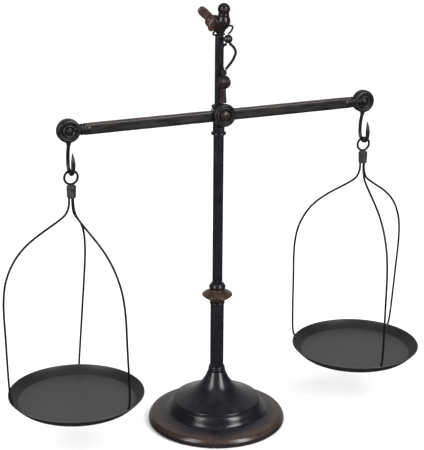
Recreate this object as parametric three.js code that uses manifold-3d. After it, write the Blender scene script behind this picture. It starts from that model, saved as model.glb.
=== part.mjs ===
// Decorative balance scale: a weighted foot, a turned column, a rocking beam and two hung pans.
// Millimetres, +Z up. The origin is the centre of the foot's underside. +X runs along the right
// arm and -Y is the front, the side that carries the hub cap and the tassel.

import * as THREE from 'three';
import { mergeVertices } from 'three/addons/utils/BufferGeometryUtils.js';
import Module from 'manifold-3d';

const wasm = await Module();
wasm.setup();

// ---------------------------------------------------------------- driving dimensions

const GAP = 0.3;               // air between pieces that touch on the real scale
const SEGMENTS = 16;           // facets round an ordinary turned piece
const FINE_SEGMENTS = 30;      // facets round the foot and the pans

const FOOT_RADIUS = 80.2;
const FOOT_TOP = 63.2;
const FELT_RADIUS = 77;
const FELT_THICKNESS = 1.5;
const BOTTOM_PLATE_THICKNESS = 1;
const WEIGHT_SEAT = 21;        // where the foot's inner boss bears on the ballast weight

const ROD_RADIUS = 3;
const ROD_BORE = 3.6;
const ROD_TOP = 363;

const LOWER_TUBE_RADIUS = 7.9;
const UPPER_TUBE_RADIUS = 5.9;
const TOP_POST_RADIUS = 4.95;
const TUBE_WALL = 1.2;

const NECK_COLLAR_TOP = 69.4;
const KNOP_BOTTOM = 149.8;
const KNOP_TOP = 165.3;
const KNOP_RADIUS = 17.7;
const KNOP_COLLAR_TOP = 172.3;
const SLEEVE_BOTTOM = 352.2;
const SLEEVE_TOP = 379.3;
const SLEEVE_RADIUS = 6.6;
const SPIGOT_TOP = 389;
const POST_TOP = 460.4;
const PEG_RADIUS = 2;          // the bird's peg
const PEG_BORE = 2.4;
const PEG_DEPTH = 8;

const PIVOT_Z = 373.9;         // axis of the pivot bolt
const BEAM_Z = 372.8;          // centreline of the beam, just under its pivot, so that it rights itself
const BEAM_Y = -9;             // the beam rocks in front of the column
const BEAM_THICKNESS = 7;
const BEAM_HEIGHT = 12.4;
const ARM = 178;               // pivot to hook pin
const EYE_RADIUS = 12.9;
const EYE_THICKNESS = 10;
const SLOT_WIDTH = 4.8;
const POCKET_RADIUS = 7.2;     // room round the hook's lug inside the eye
const HUB_RADIUS = 13;

const PIVOT_FLAT_Y = BEAM_Y + BEAM_THICKNESS / 2 + 1.4;

const HOOK_WIRE = 2;           // radius of the hook's stock
const HOOK_GAPE = 17.4;         // centre to centre across the hook
const HOOK_REACH = 5;          // the load hangs this far in front of the hook pin
const HOOK_DROP = 46;          // hook pin to the centreline of the hook's bottom

const RING_WIRE = 1.3;
const RING_RADIUS = 7.5;
const WIRE_RADIUS = 1.25;
const WIRE_SEAT = 2.7;         // how far from its axis the ferrule holds the wires
const FERRULE_RADIUS = 5.4;
const FERRULE_TOP = 313.8;
const FERRULE_BOTTOM = 300.4;
const PAN_RADIUS = 76.2;       // six-inch pans
const PAN_FLOOR_RADIUS = 65.5;
const PAN_RIM_Z = 73.4;
const PAN_FLOOR_Z = 64;
const PAN_SHEET = 1;
// Where each wire is welded round its pan, in degrees from +X, and how far it twists on its way up.
const WIRES = {
  left: [[69, -13], [184, -13], [300, -10]],
  right: [[27.5, -11.5], [141.5, -1], [264.5, 0.5]],
};

const HANG_Y = BEAM_Y - HOOK_REACH;          // the pans hang below the middle of the hooks
const RING_Z = BEAM_Z - HOOK_DROP + HOOK_WIRE + GAP - (RING_RADIUS - RING_WIRE);

// ---------------------------------------------------------------- finishes

function finish(color, roughness, metalness) {
  return new THREE.MeshStandardMaterial({ color, roughness, metalness });
}

const FINISHES = {
  black: finish(0x1f1f23, 0.42, 0.7),
  beam: finish(0x302b29, 0.55, 0.7),
  bronze: finish(0x5a463a, 0.4, 0.85),
  pan: finish(0x3a3838, 0.65, 0.6),
  wire: finish(0x19191b, 0.45, 0.7),
  steel: finish(0x8b8d90, 0.4, 0.9),
  iron: finish(0x4a4a4c, 0.8, 0.5),
  brass: finish(0xa58346, 0.4, 0.9),
  felt: finish(0x1c1c1c, 0.95, 0),
};

// ---------------------------------------------------------------- geometry helpers

// Welds a closed geometry, drops the triangles that a pole collapses and points the faces out.
function closed(geometry) {
  const bare = geometry.clone();
  for (const name of Object.keys(bare.attributes)) {
    if (name !== 'position') bare.deleteAttribute(name);
  }
  const welded = mergeVertices(bare, 1e-4);
  const index = welded.index.array;
  const at = welded.attributes.position;
  const kept = [];
  let volume = 0;
  const a = new THREE.Vector3();
  const b = new THREE.Vector3();
  const c = new THREE.Vector3();
  for (let i = 0; i < index.length; i += 3) {
    const [p, q, r] = [index[i], index[i + 1], index[i + 2]];
    if (p === q || q === r || r === p) continue;
    a.fromBufferAttribute(at, p);
    b.fromBufferAttribute(at, q);
    c.fromBufferAttribute(at, r);
    volume += a.dot(b.cross(c)) / 6;
    kept.push(p, q, r);
  }
  if (volume < 0) kept.reverse();
  welded.setIndex(kept);
  welded.computeVertexNormals();
  return welded;
}

function toSolid(geometry) {
  const mesh = closed(geometry);
  return new wasm.Manifold(new wasm.Mesh({
    numProp: 3,
    vertProperties: new Float32Array(mesh.attributes.position.array),
    triVerts: new Uint32Array(mesh.index.array),
  }));
}

function toGeometry(solid) {
  const mesh = solid.getMesh();
  const geometry = new THREE.BufferGeometry();
  geometry.setAttribute('position', new THREE.BufferAttribute(mesh.vertProperties, 3));
  geometry.setIndex(new THREE.BufferAttribute(mesh.triVerts, 1));
  geometry.computeVertexNormals();
  return geometry;
}

function joined(geometries) {
  return toGeometry(geometries.map(toSolid).reduce((whole, piece) => whole.add(piece)));
}

function cut(geometry, tools) {
  return toGeometry(tools.map(toSolid).reduce((whole, tool) => whole.subtract(tool), toSolid(geometry)));
}

// A turned piece about Z: profile is a list of [radius, height] that closes on itself.
function turned(profile, segments = SEGMENTS) {
  const points = [...profile, profile[0]].map(([radius, height]) => new THREE.Vector2(radius, height));
  return new THREE.LatheGeometry(points, segments).rotateX(Math.PI / 2);
}

function collar(outer, bore, bottom, top, bevel) {
  return turned([
    [bore, bottom],
    [outer - bevel, bottom],
    [outer, bottom + bevel],
    [outer, top - bevel],
    [outer - bevel, top],
    [bore, top],
  ]);
}

function tube(outer, wall, bottom, top) {
  return collar(outer, outer - wall, bottom, top, 0.2);
}

// A turned piece whose axis is Y; the profile's height runs to the front from y.
function turnedToFront(profile, x, y, z, segments = SEGMENTS) {
  return turned(profile, segments).rotateX(Math.PI / 2).translate(x, y, z);
}

// A short cylinder along Y.
function disc(radius, thickness, x, y, z, segments = SEGMENTS) {
  return new THREE.CylinderGeometry(radius, radius, thickness, segments).translate(x, y, z);
}

function upright(radius, bottom, top, segments = SEGMENTS) {
  return new THREE.CylinderGeometry(radius, radius, top - bottom, segments)
    .rotateX(Math.PI / 2).translate(0, 0, (bottom + top) / 2);
}

function box(width, depth, height, x, y, z) {
  return new THREE.BoxGeometry(width, depth, height).translate(x, y, z);
}

function ellipsoid(radii, turn, centre) {
  const geometry = new THREE.SphereGeometry(1, 12, 8);
  geometry.scale(...radii);
  geometry.applyMatrix4(new THREE.Matrix4().makeRotationFromEuler(new THREE.Euler(...turn)));
  return geometry.translate(...centre);
}

// A round bar of one radius along a smooth curve through the points.
function bar(points, radius, steps, sides = 6) {
  const section = new THREE.Shape();
  section.absarc(0, 0, radius, 0, 2 * Math.PI);
  const path = new THREE.CatmullRomCurve3(points.map((point) => new THREE.Vector3(...point)));
  return new THREE.ExtrudeGeometry(section, {
    extrudePath: path,
    steps,
    curveSegments: sides / 2,
    bevelEnabled: false,
  });
}

// ---------------------------------------------------------------- foot and what it hides

function footGeometry() {
  const outside = [
    [FOOT_RADIUS - 1.6, 0.6],
    [FOOT_RADIUS - 0.2, 1.6],
    [FOOT_RADIUS, 4],
    [FOOT_RADIUS - 0.6, 6.8],
    [FOOT_RADIUS - 2.2, 9.6],
    [FOOT_RADIUS - 4.2, 10.6],
    [64, 12.4],
    [59.5, 13.6],
    [55.6, 17.4],
    [53.6, 23],
    [51, 26.6],
    [50.8, 28],
    [48.8, 29.2],
    [38, 33.8],
    [32, 36.6],
    [27, 39.6],
    [22.6, 43],
    [18.8, 47.2],
    [15.6, 51.6],
    [13.2, 55.8],
    [11.2, 60.2],
    [10.2, FOOT_TOP],
  ];
  const inside = [
    [ROD_BORE, FOOT_TOP],
    [ROD_BORE, WEIGHT_SEAT],
    [10, WEIGHT_SEAT],
    [11, 46],
    [21, 39],
    [46.8, 26],
    [50, 22],
    [51.6, 17],
    [54, 11.6],
    [FOOT_RADIUS - 4.6, 8],
    [FOOT_RADIUS - 2.6, 6],
    [FOOT_RADIUS - 2.6, 0.6],
  ];
  return turned([...outside, ...inside], FINE_SEGMENTS);
}

function addFoot(stand) {
  const plateBottom = FELT_THICKNESS + GAP;
  const nutBottom = plateBottom + BOTTOM_PLATE_THICKNESS + GAP;
  const washerBottom = nutBottom + 3.6 + GAP;
  const weightBottom = washerBottom + 1.2 + GAP;
  const weightTop = WEIGHT_SEAT - GAP;
  add(stand, 'base_foot', footGeometry(), 'black');
  add(stand, 'felt_pad', upright(FELT_RADIUS, 0, FELT_THICKNESS, FINE_SEGMENTS), 'felt');
  add(stand, 'bottom_plate',
    upright(FELT_RADIUS, plateBottom, plateBottom + BOTTOM_PLATE_THICKNESS, FINE_SEGMENTS), 'steel');
  add(stand, 'ballast_weight', collar(47, ROD_BORE, weightBottom, weightTop, 1), 'iron');
  add(stand, 'base_washer', collar(10, ROD_BORE, washerBottom, weightBottom - GAP, 0.2), 'steel');
  add(stand, 'base_nut', hexNut(6.5, ROD_RADIUS + GAP, nutBottom, washerBottom - GAP), 'steel');
  add(stand, 'tie_rod', upright(ROD_RADIUS, nutBottom, ROD_TOP), 'steel');
}

function hexNut(halfFlats, bore, bottom, top) {
  const outline = new THREE.Shape();
  const corner = halfFlats / Math.cos(Math.PI / 6);
  for (let i = 0; i < 6; i += 1) {
    const angle = (i * Math.PI) / 3;
    const [x, y] = [corner * Math.cos(angle), corner * Math.sin(angle)];
    if (i === 0) outline.moveTo(x, y);
    else outline.lineTo(x, y);
  }
  const hole = new THREE.Path();
  hole.absarc(0, 0, bore, 0, 2 * Math.PI, true);
  outline.holes.push(hole);
  return new THREE.ExtrudeGeometry(outline, { depth: top - bottom, curveSegments: 16, bevelEnabled: false })
    .translate(0, 0, bottom);
}

// ---------------------------------------------------------------- column

function knopGeometry() {
  return turned([
    [ROD_BORE, KNOP_BOTTOM],
    [7.8, KNOP_BOTTOM],
    [8.8, KNOP_BOTTOM + 1.4],
    [13, KNOP_BOTTOM + 4.4],
    [KNOP_RADIUS - 0.5, KNOP_BOTTOM + 7.6],
    [KNOP_RADIUS, KNOP_BOTTOM + 8.5],
    [KNOP_RADIUS - 0.5, KNOP_BOTTOM + 9.4],
    [13, KNOP_BOTTOM + 12],
    [9.2, KNOP_TOP - 1],
    [8.4, KNOP_TOP],
    [ROD_BORE, KNOP_TOP],
  ]);
}

// The room that the hub washer needs: a flat milled into the front of the sleeve and its top ring.
function pivotFlat() {
  return box(30, 10, 32, 0, PIVOT_FLAT_Y - 5, PIVOT_Z);
}

// The sleeve stands on the tie rod, is crossed by the pivot bolt and carries the top post on a spigot.
function sleeveGeometry() {
  const blindBoreTop = ROD_TOP + 1;
  const body = turned([
    [0, blindBoreTop],
    [ROD_BORE, blindBoreTop],
    [ROD_BORE, SLEEVE_BOTTOM],
    [SLEEVE_RADIUS, SLEEVE_BOTTOM],
    [SLEEVE_RADIUS, SLEEVE_TOP],
    [ROD_RADIUS, SLEEVE_TOP],
    [ROD_RADIUS, SPIGOT_TOP],
    [0, SPIGOT_TOP],
  ]);
  const boltBore = disc(3, 30, 0, 0, PIVOT_Z, 20);
  return cut(body, [boltBore, pivotFlat()]);
}

function topPostGeometry() {
  const bottom = SLEEVE_TOP + 3.6;
  return turned([
    [0, SPIGOT_TOP + 1],
    [ROD_RADIUS + GAP, SPIGOT_TOP + 1],
    [ROD_RADIUS + GAP, bottom],
    [TOP_POST_RADIUS, bottom],
    [TOP_POST_RADIUS, POST_TOP],
    [PEG_BORE, POST_TOP],
    [PEG_BORE, POST_TOP - PEG_DEPTH - 1],
    [0, POST_TOP - PEG_DEPTH - 1],
  ]);
}

function addColumn(stand) {
  add(stand, 'neck_collar', collar(9.9, ROD_BORE, FOOT_TOP + GAP, NECK_COLLAR_TOP, 1.4), 'black');
  add(stand, 'lower_tube',
    tube(LOWER_TUBE_RADIUS, TUBE_WALL, NECK_COLLAR_TOP + GAP, KNOP_BOTTOM - 3.3), 'black');
  add(stand, 'knop_lower_collar', collar(8.8, ROD_BORE, KNOP_BOTTOM - 3, KNOP_BOTTOM - GAP, 0.8), 'black');
  add(stand, 'knop', knopGeometry(), 'bronze');
  add(stand, 'knop_upper_collar', collar(9.7, ROD_BORE, KNOP_TOP + GAP, KNOP_COLLAR_TOP, 2.2), 'black');
  add(stand, 'upper_tube',
    tube(UPPER_TUBE_RADIUS, TUBE_WALL, KNOP_COLLAR_TOP + GAP, SLEEVE_BOTTOM - 3.9), 'black');
  add(stand, 'lower_pivot_ring',
    collar(8.5, ROD_BORE, SLEEVE_BOTTOM - 3.6, SLEEVE_BOTTOM - GAP, 1.2), 'black');
  add(stand, 'pivot_sleeve', sleeveGeometry(), 'black');
  add(stand, 'upper_pivot_ring',
    cut(collar(8.3, ROD_RADIUS + GAP, SLEEVE_TOP + GAP, SLEEVE_TOP + 3.3, 1.2), [pivotFlat()]), 'black');
  add(stand, 'top_post', topPostGeometry(), 'black');
}

// ---------------------------------------------------------------- bird

// The bird perches side-on: its breast and head lean to the front right and its tail rises to the
// back left. The sizes below run along the perch direction, across it and up.
const PERCH_TURN = THREE.MathUtils.degToRad(-24.4);

function birdGeometry() {
  const peg = upright(PEG_RADIUS, POST_TOP - PEG_DEPTH, POST_TOP + PEG_DEPTH, 12);
  const legs = ellipsoid([5.6, 6, 5.4], [0, 0, 0], [0.9, 0, POST_TOP + 6]);
  const belly = ellipsoid([13.2, 8, 8.8], [0, 0.35, 0], [-3.6, 0, POST_TOP + 12.8]);
  const breast = ellipsoid([8, 7.8, 9.6], [0, 0, 0], [4, -2, POST_TOP + 15.6]);
  const head = ellipsoid([7.2, 7, 7], [0, 0, 0], [4, -3, POST_TOP + 28.6]);
  const tail = ellipsoid([10.4, 2.6, 5.2], [0, 0.72, 0], [-16.4, 3, POST_TOP + 22.4]);
  const bird = joined([peg, legs, belly, breast, head, tail]);
  return bird.rotateZ(PERCH_TURN);
}

// ---------------------------------------------------------------- pivot

function addPivot(stand) {
  add(stand, 'pivot_front_washer',
    turnedToFront(ringProfile(4.8, 2.9, 0.8), 0, PIVOT_FLAT_Y - GAP, PIVOT_Z), 'brass');
  add(stand, 'pivot_rear_washer',
    turnedToFront(ringProfile(5.4, 2.9, 1), 0, SLEEVE_RADIUS + GAP + 1, PIVOT_Z), 'steel');
  const nut = hexNut(4.2, 2.8, 0, 3.4).rotateX(Math.PI / 2).translate(0, SLEEVE_RADIUS + 5, PIVOT_Z);
  add(stand, 'pivot_nut', nut, 'steel');
  const headBack = BEAM_Y - BEAM_THICKNESS / 2 - GAP - 4.6;
  add(stand, 'pivot_bolt', turnedToFront([
    [0, -30.8],
    [2.5, -30.8],
    [2.5, 0],
    [6, 0],
    [6, 1.4],
    [5, 2.5],
    [3, 3.1],
    [0, 3.3],
  ], 0, headBack, PIVOT_Z, 24), 'bronze');
}

function ringProfile(outer, bore, height) {
  return [[bore, 0], [outer, 0], [outer, height], [bore, height]];
}

// ---------------------------------------------------------------- beam

function barSection() {
  const half = [BEAM_THICKNESS / 2, BEAM_HEIGHT / 2];
  const corner = 2;
  const section = new THREE.Shape();
  section.absarc(half[0] - corner, half[1] - corner, corner, 0, Math.PI / 2);
  section.absarc(-half[0] + corner, half[1] - corner, corner, Math.PI / 2, Math.PI);
  section.absarc(-half[0] + corner, -half[1] + corner, corner, Math.PI, 1.5 * Math.PI);
  section.absarc(half[0] - corner, -half[1] + corner, corner, 1.5 * Math.PI, 2 * Math.PI);
  return section;
}

// One end of the beam: a banded neck and a forked eye that the hook hangs in.
function beamEnd(side) {
  const neck = turned([
    [0, 154],
    [6, 154],
    [6, 159],
    [6.4, 160],
    [5.9, 161.2],
    [6.4, 163],
    [5.9, 164.6],
    [6.4, 166.4],
    [6.2, 172],
    [0, 172],
  ], 20).scale(0.68, 1, 1).rotateZ(Math.PI / 2).rotateY(Math.PI / 2);
  neck.rotateZ(side < 0 ? Math.PI : 0).translate(0, BEAM_Y, BEAM_Z);
  const eye = disc(EYE_RADIUS, EYE_THICKNESS, side * ARM, BEAM_Y, BEAM_Z);
  return [neck, eye];
}

// What an eye loses: a pocket open below for the hook to swing, the pin's bore and two recesses.
function eyeCuts(side) {
  const x = side * ARM;
  const pocket = disc(POCKET_RADIUS, SLOT_WIDTH, x, BEAM_Y, BEAM_Z, 24);
  const mouth = box(2 * POCKET_RADIUS, SLOT_WIDTH, 20, x, BEAM_Y, BEAM_Z - 10);
  const bore = disc(2.3, 40, x, BEAM_Y, BEAM_Z, 16);
  const recessDepth = 1.4;
  const face = EYE_THICKNESS / 2 - recessDepth / 2;
  const front = disc(8.9, recessDepth + 0.02, x, BEAM_Y - face - 0.01, BEAM_Z, 24);
  const rear = disc(8.9, recessDepth + 0.02, x, BEAM_Y + face + 0.01, BEAM_Z, 24);
  return [pocket, mouth, bore, front, rear];
}

function beamGeometry() {
  const length = 2 * 160;
  const shaping = { depth: length, curveSegments: 3, bevelEnabled: false };
  const rail = new THREE.ExtrudeGeometry(barSection(), shaping)
    .translate(0, 0, -length / 2)
    .rotateZ(Math.PI / 2)
    .rotateY(Math.PI / 2)
    .translate(0, BEAM_Y, BEAM_Z);
  const hub = disc(9.4, BEAM_THICKNESS - 1.6, 0, BEAM_Y - 0.8, PIVOT_Z);
  const whole = joined([rail, hub, ...beamEnd(-1), ...beamEnd(1)]);
  const hubBore = disc(4.7, 30, 0, BEAM_Y, PIVOT_Z, 24);
  return cut(whole, [hubBore, ...eyeCuts(-1), ...eyeCuts(1)]);
}

function hubCapGeometry() {
  const back = BEAM_Y - BEAM_THICKNESS / 2 - GAP;
  return turnedToFront([
    [2.9, 0],
    [HUB_RADIUS - 1, 0],
    [HUB_RADIUS, 1],
    [HUB_RADIUS, 4.6],
    [12.3, 5.6],
    [11, 6],
    [10, 5.2],
    [9.4, 5.9],
    [8.2, 6.2],
    [7.2, 5.4],
    [6.8, 4.3],
    [2.9, 4.3],
  ], 0, back, PIVOT_Z);
}

function rosetteGeometry(x, facing) {
  const seat = EYE_THICKNESS / 2 - 1.4 + GAP;
  const ring = turnedToFront([
    [4.4, 0],
    [8.4, 0],
    [8.5, 1],
    [7.4, 1.9],
    [6.2, 1.9],
    [5, 1.2],
    [4.4, 0.6],
  ], 0, -seat, 0, 24);
  if (facing > 0) ring.rotateZ(Math.PI);
  return ring.translate(x, BEAM_Y, BEAM_Z);
}

function eyePinGeometry(x) {
  return turnedToFront([
    [0, -9.6],
    [1.9, -9.6],
    [1.9, 0],
    [3.9, 0],
    [3.9, 0.9],
    [3.1, 1.8],
    [0, 2.2],
  ], x, BEAM_Y - 3.9, BEAM_Z, 20);
}

function addBeam(beam) {
  add(beam, 'beam_bar', beamGeometry(), 'beam');
  add(beam, 'hub_bush', turnedToFront(ringProfile(4.4, 2.8, BEAM_THICKNESS - 0.2), 0,
    BEAM_Y + BEAM_THICKNESS / 2 - 0.1, PIVOT_Z, 24), 'brass');
  add(beam, 'hub_cap', hubCapGeometry(), 'beam');
  for (const [name, side] of SIDES) {
    const x = side * ARM;
    add(beam, `${name}_front_rosette`, rosetteGeometry(x, -1), 'beam');
    add(beam, `${name}_rear_rosette`, rosetteGeometry(x, 1), 'beam');
    add(beam, `${name}_eye_pin`, eyePinGeometry(x), 'beam');
    add(beam, `${name}_pin_cap`, turnedToFront([
      [2.2, 0],
      [3.6, 0.4],
      [3.9, 1.5],
      [2.2, 1.5],
    ], x, BEAM_Y + 5.4, BEAM_Z, 20), 'beam');
  }
}

// ---------------------------------------------------------------- hooks

// A forged hook across the beam: a flat lug on the pin, a shank that bows back, a round bottom
// that opens to the front and a drawn-out tip.
function hookGeometry(x) {
  const half = HOOK_GAPE / 2;
  const crown = -HOOK_DROP + half;
  const points = [[0, -8], [0.1, -14], [1.9, -20], [3.5, -26], [3.9, -32]];
  for (let i = 0; i <= 6; i += 1) {
    const angle = (i * Math.PI) / 6;
    points.push([half * Math.cos(angle) - HOOK_REACH, crown - half * Math.sin(angle)]);
  }
  const outer = -half - HOOK_REACH;
  points.push([outer - 0.2, -34], [outer, -30], [outer + 0.7, -26]);
  const shank = bar(points.map(([y, z]) => [0, y, z]), HOOK_WIRE, 18);
  const tip = new THREE.CylinderGeometry(0.4, HOOK_WIRE, 4.6, 6)
    .rotateX(Math.PI / 2 - 0.17).translate(0, outer + 1.06, -23.9);
  const lugThickness = SLOT_WIDTH - 0.8;
  const lug = disc(5.6, lugThickness, 0, 0, 0, 20);
  const taper = new THREE.CylinderGeometry(4.4, HOOK_WIRE, 14.5, 12)
    .rotateX(Math.PI / 2).scale(1, lugThickness / 8.8, 1).translate(0, 0, -10.25);
  const bore = disc(2.3, 20, 0, 0, 0, 16);
  const hook = cut(joined([lug, taper, shank, tip]), [bore]);
  return hook.translate(x, BEAM_Y, BEAM_Z);
}

// ---------------------------------------------------------------- hangers and pans

function panGeometry() {
  return turned([
    [0, PAN_FLOOR_Z - PAN_SHEET],
    [PAN_FLOOR_RADIUS + 0.4, PAN_FLOOR_Z - PAN_SHEET],
    [PAN_RADIUS - 3, PAN_RIM_Z - 4.2],
    [PAN_RADIUS, PAN_RIM_Z - 0.3],
    [PAN_RADIUS - 0.5, PAN_RIM_Z],
    [PAN_RADIUS - 1.2, PAN_RIM_Z - 0.3],
    [PAN_RADIUS - 4.3, PAN_RIM_Z - 4.2],
    [PAN_FLOOR_RADIUS, PAN_FLOOR_Z],
    [0, PAN_FLOOR_Z],
  ], FINE_SEGMENTS);
}

// Three bent wires fan out of the ferrule, swing wide round the load and come down to the pan's rim.
function wireGeometry(turn, twist) {
  const profile = [
    [WIRE_SEAT, FERRULE_BOTTOM + 5],
    [WIRE_SEAT, FERRULE_BOTTOM],
    [3.2, 291],
    [6.9, 282],
    [15.4, 275],
    [26.3, 268],
    [40.1, 259],
    [53.6, 248],
    [65, 234],
    [73.6, 216],
    [77.4, 198],
    [78.6, 178],
    [78.3, 150],
    [78.2, 115],
    [77.7, 89],
    [76.6, 79.5],
    [74.6, 74.5],
  ];
  const height = profile[0][1] - PAN_RIM_Z;
  const points = profile.map(([radius, z]) => {
    const angle = THREE.MathUtils.degToRad(turn + (twist * (z - PAN_RIM_Z)) / height);
    return [radius * Math.cos(angle), radius * Math.sin(angle), z];
  });
  return bar(points, WIRE_RADIUS, 20);
}

function ferruleGeometry(wires) {
  const body = turned([
    [0, FERRULE_BOTTOM],
    [FERRULE_RADIUS - 0.7, FERRULE_BOTTOM],
    [FERRULE_RADIUS - 0.3, FERRULE_BOTTOM + 2],
    [FERRULE_RADIUS, FERRULE_TOP - 0.5],
    [FERRULE_RADIUS - 0.5, FERRULE_TOP],
    [0, FERRULE_TOP],
  ], 24);
  const room = WIRE_RADIUS + 0.4;
  const holes = wires.map(([turn, twist]) => new THREE.CylinderGeometry(room, room, 14, 12)
    .rotateX(Math.PI / 2)
    .translate(WIRE_SEAT, 0, FERRULE_BOTTOM - 1)
    .rotateZ(THREE.MathUtils.degToRad(turn + twist)));
  return cut(body, holes);
}

function addHanger(side, name) {
  const hanger = new THREE.Group();
  hanger.position.set(side * ARM, HANG_Y, 0);
  add(hanger, `${name}_ring`, new THREE.TorusGeometry(RING_RADIUS, RING_WIRE, 6, 16)
    .rotateX(Math.PI / 2).translate(0, 0, RING_Z), 'wire');
  add(hanger, `${name}_ferrule`, ferruleGeometry(WIRES[name]), 'black');
  for (const [index, letter] of ['a', 'b', 'c'].entries()) {
    add(hanger, `${name}_wire_${letter}`, wireGeometry(...WIRES[name][index]), 'wire');
  }
  add(hanger, `${name}_pan`, panGeometry(), 'pan');
  return hanger;
}

// ---------------------------------------------------------------- tassel

// A stiff ornament of twisted wire hung round the bird's legs: loop, bead, drop, knot, ball, skirt.
// All its heights are measured from the top of the post.
const TASSEL_Y = -14;
const BALL_Y = -13.3;          // the ball and the knot hang a little nearer the post
const SKIRT_Y = -10.9;
const BEAD_X = 4;
const LOOP_WIRE = 1.1;
const STRAND_RADIUS = 1.7;
const BALL_RADIUS = 7.6;
const BALL_RISE = -49.7;

// A point given along the perch, across it and up from the top of the post.
function fromPerch(along, across, rise) {
  return [
    along * Math.cos(PERCH_TURN) - across * Math.sin(PERCH_TURN),
    along * Math.sin(PERCH_TURN) + across * Math.cos(PERCH_TURN),
    POST_TOP + rise,
  ];
}

// Turned about an upright axis at x and y.
function turnedAt(profile, x, y) {
  return turned(profile).translate(x, y, POST_TOP);
}

function addTassel(tassel) {
  const loop = [
    [9.8, -11.4, 4.4],
    [13.2, -8, 7],
    [14.2, -1, 9.5],
    [10.5, 8, 8.8],
    [2, 10.8, 6],
    [-5.8, 5.8, 2.2],
    [-6.8, -0.5, 1],
    [-4.9, -6.7, 1.2],
    [0.6, -10.6, 2.8],
    [6, -11.8, 4.2],
  ];
  add(tassel, 'tassel_loop', bar(loop.map((point) => fromPerch(...point)), LOOP_WIRE, 24), 'wire');
  add(tassel, 'tassel_bead', turnedAt([
    [0, -6.8],
    [2.4, -6.6],
    [4.6, -4.8],
    [5.2, -2.2],
    [4.6, 0.4],
    [2.4, 2.2],
    [0, 2.4],
  ], BEAD_X, TASSEL_Y), 'bronze');
  const strands = {
    right: [[6.4, -8.6], [11.2, -12.6], [13, -18.5], [9.8, -26], [5, -32], [2.2, -33.8]],
    left: [[1.6, -9], [-4.6, -11.4], [-8.4, -17.4], [-6.8, -25], [-3.4, -31], [-1.6, -33.8]],
  };
  for (const [hand, points] of Object.entries(strands)) {
    const path = points.map(([x, rise]) => [x, TASSEL_Y, POST_TOP + rise]);
    add(tassel, `tassel_${hand}_strand`, bar(path, STRAND_RADIUS, 10), 'wire');
  }
  add(tassel, 'tassel_knot', turnedAt([
    [0, -41.8],
    [2.6, -41.8],
    [3.4, -39.8],
    [3.2, -36.8],
    [2.2, -35.8],
    [0, -35.8],
  ], 0, BALL_Y), 'bronze');
  add(tassel, 'tassel_ball', new THREE.SphereGeometry(BALL_RADIUS, 14, 8).rotateX(Math.PI / 2)
    .translate(0, BALL_Y, POST_TOP + BALL_RISE), 'bronze');
  add(tassel, 'tassel_skirt', turnedAt([
    [0, -73.1],
    [3.9, -73.1],
    [4, -72.2],
    [3.8, -60.8],
    [3.3, -57.7],
    [0, -57.7],
  ], 0, SKIRT_Y), 'bronze');
}

// ---------------------------------------------------------------- assembly

const SIDES = [['left', -1], ['right', 1]];
const scale = new THREE.Group();

function add(group, name, geometry, finishName) {
  const mesh = new THREE.Mesh(closed(geometry), FINISHES[finishName]);
  mesh.name = name;
  group.add(mesh);
}

const stand = new THREE.Group();
addFoot(stand);
addColumn(stand);
add(stand, 'bird_finial', birdGeometry(), 'black');
addPivot(stand);

const beam = new THREE.Group();
addBeam(beam);

const tassel = new THREE.Group();
addTassel(tassel);

scale.add(stand, beam, tassel);
for (const [name, side] of SIDES) {
  add(scale, `${name}_hook`, hookGeometry(side * ARM), 'beam');
}
scale.add(addHanger(-1, 'left'), addHanger(1, 'right'));

export default scale;
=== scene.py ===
"""Decorative balance scale in blackened metal: a weighted foot, a turned column with a perched
bird, a rocking beam, and two sheet pans hung on bent wires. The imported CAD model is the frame."""

import math

import bmesh
import bpy
from mathutils import Matrix, Vector, noise


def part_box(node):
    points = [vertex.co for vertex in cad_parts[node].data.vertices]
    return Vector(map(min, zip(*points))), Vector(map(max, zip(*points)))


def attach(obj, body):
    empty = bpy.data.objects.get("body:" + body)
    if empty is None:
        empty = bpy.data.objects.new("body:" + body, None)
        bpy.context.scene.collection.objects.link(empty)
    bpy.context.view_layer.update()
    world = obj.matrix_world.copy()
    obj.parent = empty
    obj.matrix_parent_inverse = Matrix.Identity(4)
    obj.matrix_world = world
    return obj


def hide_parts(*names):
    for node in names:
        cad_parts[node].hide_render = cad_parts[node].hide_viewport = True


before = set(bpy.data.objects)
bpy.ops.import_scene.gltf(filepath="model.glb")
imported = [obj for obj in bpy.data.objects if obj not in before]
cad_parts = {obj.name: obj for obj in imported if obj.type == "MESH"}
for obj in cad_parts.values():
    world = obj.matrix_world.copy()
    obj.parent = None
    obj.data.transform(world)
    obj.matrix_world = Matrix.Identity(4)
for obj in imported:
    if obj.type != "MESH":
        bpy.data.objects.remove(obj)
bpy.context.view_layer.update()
MM = 0.001

# ---------------- studio
# A pale floor, white surroundings and soft boxes either side of the camera. Glossy surfaces see
# dim surroundings, so that the dark lacquer keeps its depth and shows the boxes as soft streaks.

IMAGE_WIDTH = 424
IMAGE_HEIGHT = 450
CAMERA_DISTANCE = 1.6085
CAMERA_AZIMUTH = math.radians(-24.37)
CAMERA_ELEVATION = math.radians(18.39)
CAMERA_ROLL = math.radians(0.49)
FOCAL_LENGTH_IN_PIXELS = 1414.3
AXIS_COLUMN = 217.85
AIM_HEIGHT = 0.24238


def direction(azimuth, elevation):
    """The unit vector from the scale towards a place round it; azimuth 0 is the front."""
    flat = math.cos(elevation)
    return Vector((math.sin(azimuth) * flat, -math.cos(azimuth) * flat, math.sin(elevation)))


def shown(name, data):
    """A new object in the scene."""
    made = bpy.data.objects.new(name, data)
    bpy.context.scene.collection.objects.link(made)
    return made


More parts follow.
